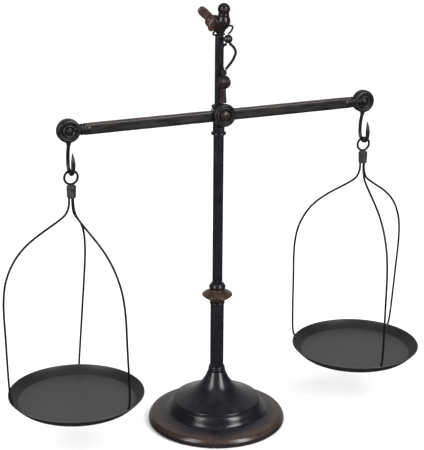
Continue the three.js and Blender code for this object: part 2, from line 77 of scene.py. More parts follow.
def aimed(back, roll=0.0):
    """The turn of a camera or lamp that looks against the vector back."""
    right = (-back).cross(Vector((0, 0, 1))).normalized()
    up = right.cross(-back)
    tilted_right = right * math.cos(roll) + up * math.sin(roll)
    tilted_up = up * math.cos(roll) - right * math.sin(roll)
    return Matrix((tilted_right, tilted_up, back)).transposed().to_4x4()


camera_back = direction(CAMERA_AZIMUTH, CAMERA_ELEVATION)
aim = Vector((0, 0, AIM_HEIGHT))
lens = bpy.data.cameras.new("studio_camera")
lens.sensor_width = 36
lens.lens = FOCAL_LENGTH_IN_PIXELS * lens.sensor_width / IMAGE_HEIGHT
lens.shift_x = (IMAGE_WIDTH / 2 - AXIS_COLUMN) / IMAGE_HEIGHT
lens.clip_end = 100
camera = shown("studio_camera", lens)
camera_place = Matrix.Translation(aim + camera_back * CAMERA_DISTANCE)
camera.matrix_world = camera_place @ aimed(camera_back, CAMERA_ROLL)
bpy.context.scene.camera = camera
bpy.context.scene.view_settings.view_transform = "Standard"


def soft_box(name, azimuth, elevation, distance, width, height, radiance):
    """A rectangular lamp that faces the scale; its power follows from how bright its face is."""
    lamp = bpy.data.lights.new(name, "AREA")
    lamp.shape = "RECTANGLE"
    lamp.size = width
    lamp.size_y = height
    lamp.energy = radiance * math.pi * width * height
    back = direction(CAMERA_AZIMUTH + math.radians(azimuth), math.radians(elevation))
    shown(name, lamp).matrix_world = Matrix.Translation(aim + back * distance) @ aimed(back)


soft_box("left_soft_box", -44, 25, 1.7, 0.6, 1.2, 9.0)
soft_box("right_soft_box", 46, 25, 1.7, 0.6, 1.2, 11.0)
soft_box("overhead_soft_box", 0, 82, 2.0, 1.6, 1.6, 0.3)


def node(tree, kind, links=(), **settings):
    """A shader node; settings name its properties, links give (input, socket or value) pairs."""
    made = tree.nodes.new(kind)
    for key, value in settings.items():
        setattr(made, key, value)
    for key, value in links:
        if isinstance(value, bpy.types.NodeSocket):
            tree.links.new(value, made.inputs[key])
        else:
            made.inputs[key].default_value = value
    return made


WHITE = (1, 1, 1, 1)
BACKDROP_STRENGTH = 1.15
ROOM_DIM = 0.07
BACK_WALL_GLOW = 0.5
BACK_WALL_TILT = math.radians(-14)
world = bpy.data.worlds.new("white_surroundings")
world.use_nodes = True
sky = world.node_tree
sky.nodes.clear()
ray = node(sky, "ShaderNodeLightPath")
looking = node(sky, "ShaderNodeTexCoord").outputs["Generated"]
towards_back = node(sky, "ShaderNodeVectorMath", [
    (0, looking), (1, tuple(-direction(CAMERA_AZIMUTH, BACK_WALL_TILT))),
], operation="DOT_PRODUCT")
wall = node(sky, "ShaderNodeMapRange", [
    ("Value", towards_back.outputs["Value"]),
    ("From Min", 0.45), ("From Max", 0.95), ("To Min", ROOM_DIM), ("To Max", BACK_WALL_GLOW),
], interpolation_type="SMOOTHSTEP")
backdrop = node(sky, "ShaderNodeBackground", [("Color", WHITE), ("Strength", BACKDROP_STRENGTH)])
dim_room = node(sky, "ShaderNodeBackground", [("Color", WHITE), ("Strength", wall.outputs[0])])
choice = node(sky, "ShaderNodeMixShader", [
    (0, ray.outputs["Is Glossy Ray"]),
    (1, backdrop.outputs[0]),
    (2, dim_room.outputs[0]),
])
node(sky, "ShaderNodeOutputWorld", [("Surface", choice.outputs[0])])
bpy.context.scene.world = world

FLOOR_REACH = 9.0
floor_mesh = bpy.data.meshes.new("studio_floor")
floor_mesh.from_pydata(
    [(x * FLOOR_REACH, y * FLOOR_REACH, 0) for x, y in ((-1, -1), (1, -1), (1, 1), (-1, 1))],
    [],
    [(0, 1, 2, 3)],
)
floor = shown("studio_floor", floor_mesh)
floor.visible_glossy = False
paper = bpy.data.materials.new("studio_paper")
paper.use_nodes = True
paper_inputs = paper.node_tree.nodes["Principled BSDF"].inputs
paper_inputs["Base Color"].default_value = (0.94, 0.94, 0.94, 1)
paper_inputs["Roughness"].default_value = 0.9
floor_mesh.materials.append(paper)

# ---------------- foot
# The wide foot is a spun and lacquered casting: a trumpet neck on a domed cap with a lip, a drum
# below it and a dished apron that ends in a rolled rim. The lacquer is rubbed brown at the rim.

TURN_STEPS = 112


def tone(red, green, blue):
    """A screen colour as the linear colour that a shader takes."""
    return tuple(
        c / 255 / 12.92 if c <= 10 else ((c / 255 + 0.055) / 1.055) ** 2.4
        for c in (red, green, blue)
    ) + (1.0,)


def spot(name):
    """Centre, underside, top and radius of a CAD node, in millimetres."""
    low, high = (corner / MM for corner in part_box(name))
    return (low + high) / 2, low.z, high.z, max(high.x - low.x, high.y - low.y) / 2


def softened(points, passes, loop):
    """The outline with its corners cut off again and again, which rounds them."""
    for _ in range(passes):
        cut = [] if loop else [points[0]]
        for near, far in zip(points, points[1:] + points[:1] if loop else points[1:]):
            cut.append(tuple(0.75 * n + 0.25 * f for n, f in zip(near, far)))
            cut.append(tuple(0.25 * n + 0.75 * f for n, f in zip(near, far)))
        points = cut if loop else cut + [points[-1]]
    return points


def turned(profile, loop=False, passes=3, flutes=0, flute_depth=0.0, steps=TURN_STEPS):
    """A piece turned about Z from (radius, height) pairs, solid, or a ring where they loop."""
    shape = bmesh.new()
    rows = []
    for radius, height in softened([tuple(map(float, p)) for p in profile], passes, loop):
        if radius < 1e-4:
            rows.append([shape.verts.new((0, 0, height))])
            continue
        row = []
        for step in range(steps):
            angle = 2 * math.pi * step / steps
            wave = 1 - flute_depth * (0.5 - 0.5 * math.cos(flutes * angle))
            reach = radius * wave
            row.append(shape.verts.new((reach * math.cos(angle), reach * math.sin(angle), height)))
        rows.append(row)
    for below, above in zip(rows, rows[1:] + rows[:1] if loop else rows[1:]):
        for step in range(steps):
            corners = [below[step % len(below)], below[(step + 1) % len(below)]]
            corners += [above[(step + 1) % len(above)], above[step % len(above)]]
            distinct = list(dict.fromkeys(corners))
            if len(distinct) > 2:
                shape.faces.new(distinct)
    return shape


def fitted(name, shape, finish, slot, body, *stood_for, place=Matrix.Identity(4), sharp=38):
    """Makes a piece of the shape, in metres, facing out and smooth but for its true edges, and
    puts it on its CAD body in place of the CAD nodes it stands for."""
    bmesh.ops.transform(shape, matrix=Matrix.Scale(MM, 4) @ place, verts=shape.verts)
    bmesh.ops.remove_doubles(shape, verts=shape.verts, dist=0.002 * MM)
    bmesh.ops.recalc_face_normals(shape, faces=shape.faces)
    mesh = bpy.data.meshes.new(name)
    shape.to_mesh(mesh)
    shape.free()
    mesh.shade_smooth()
    mesh.set_sharp_from_angle(angle=math.radians(sharp))
    mesh.materials.append(finish)
    piece = shown(name, mesh)
    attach(piece, body)
    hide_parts(*stood_for)


def patches(tree, point, size, detail=5.0, stretch=(1, 1, 1)):
    """Cloudy noise whose spots are about size millimetres across."""
    moved = node(tree, "ShaderNodeMapping", [("Vector", point), ("Scale", stretch)])
    return node(tree, "ShaderNodeTexNoise", [
        ("Vector", moved.outputs[0]), ("Scale", 1 / (size * MM)), ("Detail", detail),
        ("Roughness", 0.62),
    ]).outputs["Fac"]


def ramp(tree, value, start, end, low=0.0, high=1.0):
    """Value carried from start..end to low..high, and held at the ends."""
    return node(tree, "ShaderNodeMapRange", [
        ("Value", value), ("From Min", start), ("From Max", end), ("To Min", low), ("To Max", high),
    ], interpolation_type="SMOOTHSTEP").outputs[0]


def height_of(tree, point):
    return node(tree, "ShaderNodeSeparateXYZ", [(0, point)]).outputs["Z"]


def reach_of(tree, point):
    """How far the point is from the upright axis through the origin."""
    flat = node(tree, "ShaderNodeVectorMath", [(0, point), (1, (1, 1, 0))], operation="MULTIPLY")
    reach = node(tree, "ShaderNodeVectorMath", [(0, flat.outputs[0])], operation="LENGTH")
    return reach.outputs["Value"]


def combined(tree, operation, first, second):
    """Two values put together by a maths operation and held to 0..1."""
    return node(
        tree, "ShaderNodeMath", [(0, first), (1, second)], operation=operation, use_clamp=True
    ).outputs[0]


def blended(tree, factor, first, second):
    """One colour laid over another where factor is 1."""
    return node(
        tree, "ShaderNodeMix", [(0, factor), (6, first), (7, second)], data_type="RGBA"
    ).outputs[2]


def metal_finish(
    name, skin, cloud, rubbed, gloss, edge=(0.508, 0.56), grain=0.5, grain_depth=0.03,
    spread=9.0, stretch=(1, 1, 1), metallic=0.0, specular=0.5, zone=None,
):
    """A worn coating on metal, with painted shade darkening its crevices. Skin and cloud are its
    two tones, rubbed is what wear brings out on edges and what is laid in zone, which on the beam's
    rail is also painted light from above; gloss is (smoothest, roughest); grain and spread are in
    millimetres."""
    skin, cloud, rubbed = (tone(*shade) for shade in (skin, cloud, rubbed))
    finish = bpy.data.materials.new(name)
    finish.use_nodes = True
    tree = finish.node_tree
    shader = tree.nodes["Principled BSDF"]
    point = node(tree, "ShaderNodeTexCoord").outputs["Object"]
    pointed = node(tree, "ShaderNodeNewGeometry").outputs["Pointiness"]
    clouds = patches(tree, point, spread, stretch=stretch)
    specks = patches(tree, point, grain, 3.0, stretch)
    worn_edge = ramp(tree, pointed, *edge)
    scuffs = ramp(tree, patches(tree, point, spread / 4, stretch=stretch), 0.38, 0.62)
    wear_and_painted_light = combined(tree, "MULTIPLY", worn_edge, ramp(tree, scuffs, 0, 1, 0.25, 1))
    if zone:
        # The zone takes the rubbed colour: wear, and on the beam's rail also painted light on
        # upward faces.
        zone_wear_and_painted_light = combined(tree, "MULTIPLY", zone(tree, point), ramp(tree, scuffs, 0, 1, 0.55, 1))
        wear_and_painted_light = combined(tree, "MAXIMUM", wear_and_painted_light, zone_wear_and_painted_light)
    coat = blended(tree, ramp(tree, clouds, 0.35, 0.66), skin, cloud)
    coat = blended(tree, wear_and_painted_light, coat, rubbed)
    # Painted shade: crevices, where pointiness is low, are darkened towards a third of the skin
    # colour.
    painted_crevice_shade = ramp(tree, pointed, 0.49, 0.44, 0, 0.6)
    coat = blended(tree, painted_crevice_shade, coat, tuple(0.35 * c for c in skin[:3]) + (1.0,))
    tree.links.new(coat, shader.inputs["Base Color"])
    shine = combined(tree, "ADD", ramp(tree, clouds, 0.3, 0.7, *gloss),
                     ramp(tree, specks, 0.3, 0.7, -0.03, 0.05))
    tree.links.new(shine, shader.inputs["Roughness"])
    relief = combined(tree, "ADD", specks, combined(tree, "MULTIPLY", clouds, 0.6))
    bump = node(tree, "ShaderNodeBump", [
        ("Strength", 0.6), ("Distance", grain_depth * MM), ("Height", relief),
    ])
    tree.links.new(bump.outputs[0], shader.inputs["Normal"])
    shader.inputs["Metallic"].default_value = metallic
    shader.inputs["Specular IOR Level"].default_value = specular
    return finish


_, _, foot_top, foot_radius = spot("base_foot")
RAGGED_BORDER = 0.03


def rim_rub(tree, point):
    """1 at the foot's rim, and 0 on its dome, with a ragged border between."""
    ragged = combined(tree, "MULTIPLY", patches(tree, point, 30, 4.0), RAGGED_BORDER)
    total = combined(tree, "ADD", reach_of(tree, point), ragged)
    start, end = ((foot_radius - inset) * MM + RAGGED_BORDER / 2 for inset in (17, 4))
    sloped = ramp(tree, total, start, end, 0, 0.9)
    upper = ramp(tree, height_of(tree, point), 5.4 * MM, 7 * MM, 0.25, 1)
    return combined(tree, "MULTIPLY", sloped, upper)


SATIN = dict(skin=(16, 15, 20), cloud=(22, 21, 26), rubbed=(64, 56, 53), gloss=(0.19, 0.28))
foot_lacquer = metal_finish("foot_lacquer", **{**SATIN, "rubbed": (58, 44, 38)}, zone=rim_rub)
FOOT_PROFILE = [
    (0, 21), (3.6, 21), (10, 21.2), (11, 46), (21, 39), (46.8, 26), (50, 22), (51.6, 17),
    (54, 11.6), (foot_radius - 4.8, 8), (foot_radius - 2.8, 6), (foot_radius - 2.8, 0.7),
    (foot_radius - 2.2, 0.6), (foot_radius - 1.2, 0.7), (foot_radius - 0.3, 1.5),
    (foot_radius, 3), (foot_radius, 4.8), (foot_radius - 0.4, 6.2), (foot_radius - 0.7, 6.7),
    (foot_radius - 1.3, 8), (foot_radius - 2.4, 9.5), (foot_radius - 3.4, 10.3),
    (foot_radius - 4.4, 10.5), (foot_radius - 5.6, 10.7), (72, 11.1), (67, 11.9), (62, 12.9),
    (59.2, 13.7), (57.3, 14.9), (56.1, 16.5), (55.4, 18.2), (54.7, 20.2), (53.8, 22.6),
    (52.6, 24.6), (51.4, 25.7), (50.6, 26.2), (50.3, 26.6), (50.9, 27.1), (50.9, 27.9),
    (50.3, 28.6), (48.8, 29.2), (44, 31.2), (38, 33.8), (32, 36.6), (27, 39.6), (22.6, 43),
    (18.8, 47.2), (15.6, 51.6), (13.2, 55.8), (11.4, 60), (10.5, 62.2), (10.2, foot_top - 0.2),
    (9.6, foot_top), (0, foot_top),
]
fitted("foot_casting", turned(FOOT_PROFILE), foot_lacquer, "satin_black", "stand", "base_foot")

# The underside is closed by a thin steel plate and a felt pad that keeps the foot off the table.

felt_fibre = metal_finish(
    "felt_fibre", skin=(26, 26, 27), cloud=(38, 37, 38), rubbed=(48, 47, 47),
    gloss=(0.9, 0.98), grain=0.25, grain_depth=0.25, spread=3.0, specular=0.1,
)
_, pad_bottom, pad_top, pad_radius = spot("felt_pad")
PAD_PROFILE = [
    (0, pad_bottom), (pad_radius - 0.5, pad_bottom), (pad_radius, pad_bottom + 0.4),
    (pad_radius, pad_top - 0.4), (pad_radius - 0.5, pad_top), (0, pad_top),
]
fitted("felt_disc", turned(PAD_PROFILE), felt_fibre, "felt", "stand", "felt_pad")

# Hidden in the foot: an iron weight on a steel tie rod, which a nut and washer pull up tight.
# They keep their CAD shapes and get the finish of plated steel, rough iron and turned brass.

zinc = metal_finish(
    "zinc_plate", skin=(142, 144, 148), cloud=(168, 169, 172), rubbed=(196, 196, 198),
    gloss=(0.28, 0.42), grain=0.4, grain_depth=0.02, metallic=0.9,
)
cast_iron = metal_finish(
    "sand_cast_iron", skin=(66, 64, 64), cloud=(84, 76, 70), rubbed=(120, 116, 112),
    gloss=(0.7, 0.85), grain=0.9, grain_depth=0.3, metallic=0.5,
)
turned_brass = metal_finish(
    "turned_brass", skin=(150, 118, 62), cloud=(176, 142, 82), rubbed=(208, 178, 116),
    gloss=(0.3, 0.45), grain=0.3, grain_depth=0.02, metallic=0.95,
)
CARRIED_OVER = {
    "bottom_plate": zinc, "base_nut": zinc, "base_washer": zinc, "tie_rod": zinc,
    "ballast_weight": cast_iron, "hub_bush": turned_brass, "pivot_front_washer": turned_brass,
}
for cad_name, finish in CARRIED_OVER.items():
    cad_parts[cad_name].material_slots[0].material = finish

# ---------------- column
# Two drawn steel tubes and their turned collars, threaded over the tie rod and lacquered black.
# The collars hide the joints; the upper tube is the thinner one.

column_lacquer = metal_finish("column_lacquer", **SATIN)
ROD_BORE = 3.6
TUBE_WALL = 1.2


def tube_piece(name, cad_name):
    """A drawn tube with lightly broken ends."""
    _, bottom, top, radius = spot(cad_name)
    inner, middle = radius - TUBE_WALL, (bottom + top) / 2
    profile = [
        (inner, bottom), (radius, bottom), (radius, bottom + 0.4), (radius, middle),
        (radius, top - 0.4), (radius, top), (inner, top), (inner, middle),
    ]
    fitted(name, turned(profile, loop=True), column_lacquer, "satin_black", "stand", cad_name)


def collar(bore, radius, bottom, top, outline):
    """A bored collar; its outline gives (inset from the radius, share of the height)."""
    outside = [(radius - inset, bottom + share * (top - bottom)) for inset, share in outline]
    return turned([(bore, bottom), *outside, (bore, top)], loop=True)


def collar_piece(name, cad_name, outline):
    """A lacquered collar bored for the tie rod."""
    _, bottom, top, radius = spot(cad_name)
    shape = collar(ROD_BORE, radius, bottom, top, outline)
    fitted(name, shape, column_lacquer, "satin_black", "stand", cad_name)


ROUND_COLLAR = [(1.2, 0), (0.3, 0.1), (0, 0.35), (0, 0.65), (0.3, 0.9), (1.2, 1)]
STEPPED_COLLAR = [
    (0.2, 0), (0, 0.08), (0, 0.34), (0.5, 0.42), (0.9, 0.47), (0.9, 0.52),
    (0.4, 0.57), (0.3, 0.7), (0.6, 0.88), (1.6, 1),
]
CUPPED_COLLAR = [
    (1.5, 0), (0.5, 0.1), (0, 0.3), (0.1, 0.52), (0.8, 0.68), (1.3, 0.74),
    (1.5, 0.8), (1.7, 0.92), (2.6, 1),
]
collar_piece("neck_ring", "neck_collar", STEPPED_COLLAR)
tube_piece("lower_column", "lower_tube")
collar_piece("knop_seat", "knop_lower_collar", ROUND_COLLAR)
collar_piece("knop_cup", "knop_upper_collar", CUPPED_COLLAR)
tube_piece("upper_column", "upper_tube")
collar_piece("lower_band", "lower_pivot_ring", ROUND_COLLAR)

# ---------------- knop
# The knop between the tubes is a turned bronze bulb with a keen equator, toned dark brown.

aged_bronze = metal_finish(
    "aged_bronze", skin=(62, 48, 42), cloud=(82, 64, 55), rubbed=(132, 110, 96),
    gloss=(0.16, 0.27), edge=(0.51, 0.6), grain=0.6, grain_depth=0.05, spread=7.0, metallic=0.55,
)
dark_bronze = metal_finish(
    "dark_bronze", skin=(25, 22, 22), cloud=(38, 33, 31), rubbed=(88, 74, 68),
    gloss=(0.18, 0.28), edge=(0.52, 0.62), grain=0.5, grain_depth=0.04, spread=5.0, metallic=0.35,
)
_, knop_bottom, knop_top, knop_radius = spot("knop")
KNOP_PROFILE = [
    (ROD_BORE, knop_bottom), (7.4, knop_bottom), (7.9, knop_bottom + 0.5), (8.6, knop_bottom + 1.4),
    (10.4, knop_bottom + 2.6), (13.6, knop_bottom + 4.7), (16, knop_bottom + 6.5),
    (knop_radius - 0.5, knop_bottom + 7.7), (knop_radius, knop_bottom + 8.4),
    (knop_radius - 0.1, knop_bottom + 9.0), (knop_radius - 0.9, knop_bottom + 9.8),
    (15, knop_bottom + 11.1), (12.4, knop_bottom + 12.5), (10, knop_bottom + 13.7),
    (8.8, knop_top - 0.8), (8.4, knop_top), (ROD_BORE, knop_top),
]
fitted("turned_knop", turned(KNOP_PROFILE, loop=True), aged_bronze, "aged_bronze", "stand", "knop")

# ---------------- pivot
# A bored sleeve carries the beam's bolt through the column. Its front and the front of the ring
# above it are milled flat for a brass washer; a hexagon nut and a washer close it at the back.

TO_FRONT = Matrix.Rotation(math.pi / 2, 4, "X")
PIVOT_FLAT_Y = -4.1
MILLED_FROM = 357.9


def milled(shape):
    """Takes the front of a turned piece back to the pivot flat."""
    for vert in shape.verts:
        if vert.co.z > MILLED_FROM:
            vert.co.y = max(vert.co.y, PIVOT_FLAT_Y)
    return shape


def lathe_ring(inner, outer, bottom, top, bevel):
    """A plain ring's outline with its outer corners broken."""
    return [
        (inner, bottom), (outer - bevel, bottom), (outer, bottom + bevel),
        (outer, top - bevel), (outer - bevel, top), (inner, top),
    ]


_, sleeve_bottom, sleeve_top, _ = spot("pivot_sleeve")
SLEEVE_RADIUS = 6.6
SLEEVE_SHOULDER = 379.3
SPIGOT_RADIUS = 3.0
SPIGOT_BORE = 3.3
SLEEVE_PROFILE = [
    (0, 364), (ROD_BORE, 364), (ROD_BORE, sleeve_bottom), (SLEEVE_RADIUS, sleeve_bottom),
    (SLEEVE_RADIUS, sleeve_bottom + 0.3), (SLEEVE_RADIUS, 358), (SLEEVE_RADIUS, 365),
    (SLEEVE_RADIUS, 372), (SLEEVE_RADIUS, SLEEVE_SHOULDER - 0.3), (SLEEVE_RADIUS, SLEEVE_SHOULDER),
    (SPIGOT_RADIUS, SLEEVE_SHOULDER), (SPIGOT_RADIUS, sleeve_top), (0, sleeve_top),
]
fitted(
    "bored_sleeve", milled(turned(SLEEVE_PROFILE)), column_lacquer, "satin_black", "stand",
    "pivot_sleeve",
)

_, band_bottom, band_top, band_radius = spot("upper_pivot_ring")
band = collar(SPIGOT_BORE, band_radius, band_bottom, band_top, ROUND_COLLAR)
fitted("upper_band", milled(band), column_lacquer, "satin_black", "stand", "upper_pivot_ring")

BOLT_Z = 373.9
ON_BOLT = Matrix.Translation((0, 0, BOLT_Z)) @ TO_FRONT
bolt_low, bolt_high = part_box("pivot_bolt")
bolt_front = -bolt_low.y / MM
bolt_back = -bolt_high.y / MM
BOLT_PROFILE = [
    (0, bolt_back), (2.2, bolt_back), (2.5, bolt_back + 0.4), (2.5, 0), (2.5, 17.4), (5.6, 17.4),
    (6, 17.7), (6, 18.6), (5.6, 19.3), (4.8, 19.9), (3.6, 20.4), (1.8, bolt_front - 0.05),
    (0, bolt_front),
]
bolt = turned(BOLT_PROFILE)
for vert in bolt.verts:
    if vert.co.z > 18:
        vert.co.z -= 0.3 * abs(noise.noise(vert.co * 0.42))
fitted("pivot_button", bolt, dark_bronze, "dark_casting", "stand", "pivot_bolt", place=ON_BOLT)


def worked(holder):
    """The object's shape with its modifiers worked in; the object itself is removed."""
    ready = holder.evaluated_get(bpy.context.evaluated_depsgraph_get())
    shape = bmesh.new()
    shape.from_mesh(bpy.data.meshes.new_from_object(ready))
    holder.modifiers.clear()
    bpy.data.objects.remove(holder)
    return shape


def hexagon(half_flats, bore, bottom, top):
    """A hexagon nut about Z whose corners are turned off at both faces."""
    corner = half_flats / math.cos(math.pi / 6)
    heights = [(bottom, 0.9), (bottom + 0.5, 1), (top - 0.5, 1), (top, 0.9)]
    outline = [(bore, bottom)] + [(corner * share, height) for height, share in heights]
    shape = turned(outline + [(bore, top)], loop=True, passes=0, steps=72)
    for vert in shape.verts:
        radius = vert.co.xy.length
        if radius > bore + 0.1:
            angle = math.atan2(vert.co.y, vert.co.x) % (math.pi / 3) - math.pi / 6
            vert.co.xy *= min(radius, half_flats / math.cos(angle)) / radius
    return shape


nut_low, nut_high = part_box("pivot_nut")
nut = hexagon(4.2, 2.8, -nut_high.y / MM, -nut_low.y / MM)
fitted("pivot_hex_nut", nut, zinc, "zinc_steel", "stand", "pivot_nut", place=ON_BOLT)
washer_low, washer_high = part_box("pivot_rear_washer")
washer = turned(lathe_ring(2.9, 5.4, -washer_high.y / MM, -washer_low.y / MM, 0.25), loop=True)
fitted("rear_washer", washer, zinc, "zinc_steel", "stand", "pivot_rear_washer", place=ON_BOLT)

# ---------------- top post
# A slim solid post stands on the sleeve's spigot and holds the bird's peg. It is lacquered like
# the column.

_, post_bottom, post_top, post_radius = spot("top_post")
POST_PROFILE = [
    (0, 390), (SPIGOT_BORE, 390), (SPIGOT_BORE, post_bottom), (post_radius - 0.4, post_bottom),
    (post_radius, post_bottom + 0.5), (post_radius, 400), (post_radius, 430),
    (post_radius, post_top - 0.8), (post_radius - 0.8, post_top), (2.4, post_top),
    (2.4, post_top - 9), (0, post_top - 9),
]
fitted("slim_post", turned(POST_PROFILE), column_lacquer, "satin_black", "stand", "top_post")

# ---------------- bird
# A small cast bird perches on the post, its face to the front and its tail cocked up behind. It
# is one bronze casting, toned nearly black, with brown showing on the wings and the tail.

PERCH_ANGLE = math.radians(-24.4)
PERCH_TURN = Matrix.Rotation(PERCH_ANGLE, 4, "Z")
PERCH_Z = post_top
TAIL_LIFT = 0.72
TAIL_PITCH = 2.2
TAIL_HALF_WIDTH = 5.5


def blob(shape, radii, centre, lean=0.0, swing=0.0):
    """Adds an ellipsoid; its sizes run along the perch, across it and up."""
    place = Matrix.Translation(centre) @ Matrix.Rotation(swing, 4, "Z")
    place = place @ Matrix.Rotation(lean, 4, "Y") @ Matrix.Diagonal((*radii, 1))
    bmesh.ops.create_uvsphere(shape, u_segments=40, v_segments=24, radius=1, matrix=place)


def fused(name, shape, voxel, smoothing):
    """One skin over overlapping lumps, like wax worked together before a casting."""
    raw = bpy.data.meshes.new(name)
    shape.to_mesh(raw)
    shape.free()
    wax = shown(name, raw)
    skin = wax.modifiers.new("skin", "REMESH")
    skin.mode = "VOXEL"
    skin.voxel_size = voxel
    ease = wax.modifiers.new("ease", "SMOOTH")
    ease.factor = 0.5
    ease.iterations = smoothing
    return worked(wax)


bird = bmesh.new()
blob(bird, (13.0, 7.8, 8.7), (-3.6, 0, PERCH_Z + 12.8), lean=0.36)
blob(bird, (7.9, 7.8, 9.6), (4, -1.6, PERCH_Z + 15.4))
blob(bird, (6.2, 6.0, 6.0), (4.4, -2.6, PERCH_Z + 22.5))
blob(bird, (6.9, 6.9, 6.7), (4.6, -3.2, PERCH_Z + 28.9))
blob(bird, (5.0, 3.4, 3.4), (-9.6, 1.6, PERCH_Z + 17.6), lean=TAIL_LIFT)
for step in range(8):
    along = step * TAIL_PITCH - 1.0
    taper = math.sqrt(max(0.1, 1 - (max(0, along - 11) / 7) ** 2))
    centre = (
        -9.5 - along * math.cos(TAIL_LIFT),
        2.4 + along * 0.06,
        PERCH_Z + 17.2 + along * math.sin(TAIL_LIFT),
    )
    width = TAIL_HALF_WIDTH * min(1.0, 0.8 + along * 0.03) * taper
    blob(bird, (3.2, 1.7, width), centre, lean=TAIL_LIFT)
for side in (-1, 1):
    wing_at = (-7.4, side * 6.6 - 0.3, PERCH_Z + 12.4)
    blob(bird, (5.0, 1.6, 8.0), wing_at, lean=0.42, swing=side * 0.12)
    for toe in (-1, 0, 1):
        blob(bird, (0.9, 1.9, 0.8), (0.4 + toe * 1.7, side * 3.2, PERCH_Z + 0.8), swing=toe * 0.4)
blob(bird, (5.6, 6, 5.4), (0.9, 0, PERCH_Z + 6))
blob(bird, (4.6, 4.4, 3.2), (0.2, 0, PERCH_Z + 3.6))
peg_at = Matrix.Translation((0, 0, PERCH_Z))
beak_at = Matrix.Translation((4.2, -11.2, PERCH_Z + 27.9))
beak_at = beak_at @ Matrix.Rotation(math.pi / 2 + 0.12, 4, "X")
for sides, root, tip, length, place in ((24, 2.0, 2.0, 17, peg_at), (20, 2.1, 0.25, 5.4, beak_at)):
    bmesh.ops.create_cone(
        bird, cap_ends=True, segments=sides, radius1=root, radius2=tip, depth=length, matrix=place
    )
bird = fused("bird_wax", bird, 0.42, 5)
bird.normal_update()
FEATHER_PITCH = 2.1
for vert in bird.verts:
    along, across, up = vert.co.x + 7.4, abs(vert.co.y), vert.co.z - PERCH_Z - 12.4
    on_wing = across > 6.0 and (along / 4.6) ** 2 + (up / 7.4) ** 2 < 1
    on_tail = vert.co.x < -14 and vert.co.z > PERCH_Z + 19
    if on_wing or on_tail:
        row = (along * 0.75 + up * 0.3) if on_wing else (up * 0.6 + along * 0.8)
        vert.co -= vert.normal * 0.22 * (1 - abs(math.sin(math.pi * row / FEATHER_PITCH))) ** 2


def wing_and_tail_rub(tree, point):
    """1 towards the bird's tail and wings, 0 on its breast."""
    turned_point = node(tree, "ShaderNodeMapping", [
        ("Vector", point), ("Rotation", (0, 0, -PERCH_ANGLE)),
    ])
    parts = node(tree, "ShaderNodeSeparateXYZ", [(0, turned_point.outputs[0])])
    return ramp(tree, parts.outputs["X"], -3 * MM, -9 * MM, 0.08, 0.85)


bird_casting = metal_finish(
    "bird_casting", skin=(15, 14, 15), cloud=(26, 23, 23), rubbed=(68, 48, 43),
    gloss=(0.17, 0.27), edge=(0.53, 0.6), grain=0.7, grain_depth=0.08, spread=6.0, metallic=0.25,
    zone=wing_and_tail_rub,
)
fitted(
    "perched_bird", bird, bird_casting, "satin_black", "stand", "bird_finial", place=PERCH_TURN,
    sharp=80,
)
eyes = bmesh.new()
for side in (-1, 1):
    blob(eyes, (1.0, 0.8, 1.0), (4.5 + side * 2.9, -9.1, PERCH_Z + 30.0))
eye_black = metal_finish(
    "bird_eye_black", skin=(8, 8, 9), cloud=(14, 13, 13), rubbed=(26, 24, 24),
    gloss=(0.12, 0.22), grain=0.3, grain_depth=0.01, spread=2.0,
)
fitted("bird_eyes", eyes, eye_black, "satin_black", "stand", place=PERCH_TURN, sharp=80)

# ---------------- beam
# The beam is a forged flat bar with banded necks and a round eye at each end, blackened and then
#  rubbed back so that reddish brown shows along its top edge; the same brown is laid on all the
#  rail's upward faces as painted light from above. Streaks run along the bar.

BEAM_Y = -9.0
BEAM_Z = 372.8
BEAM_THICKNESS = 7.0
BEAM_HEIGHT = 12.4
RAIL_HALF = 160.0
RAIL_STEPS = 260
ARM = 178.0
RAIL_CORNER = 1.9
FORGING_DEPTH = 0.35
HUB_BORE = 4.7
PIN_BORE = 2.3
ENDS = (("left", -1), ("right", 1))


def beam_top_wear_and_painted_light(tree, point):
    """1 on faces that look up: wear on the blacking there, and painted light from above."""
    upward = height_of(tree, node(tree, "ShaderNodeTexCoord").outputs["Normal"])
    streaks = ramp(tree, patches(tree, point, 5, 4.0, (0.12, 1, 1)), 0.36, 0.6, 0.3, 1)
    return combined(tree, "MULTIPLY", ramp(tree, upward, 0.1, 0.75), streaks)


DARK_CASTING = dict(
    skin=(15, 14, 14), cloud=(28, 25, 24), rubbed=(66, 52, 46), gloss=(0.26, 0.42),
    edge=(0.52, 0.62), grain=0.7, grain_depth=0.1, metallic=0.2,
)
# The rail's upward faces take the rubbed brown as wear and as painted light from above.
rail_blacking = metal_finish(
    "rail_blacking", **DARK_CASTING, spread=4.0, stretch=(0.16, 1, 1), zone=beam_top_wear_and_painted_light
)
end_blacking = metal_finish(
    "end_blacking", **{**DARK_CASTING, "rubbed": (76, 66, 60)}, spread=5.0
)


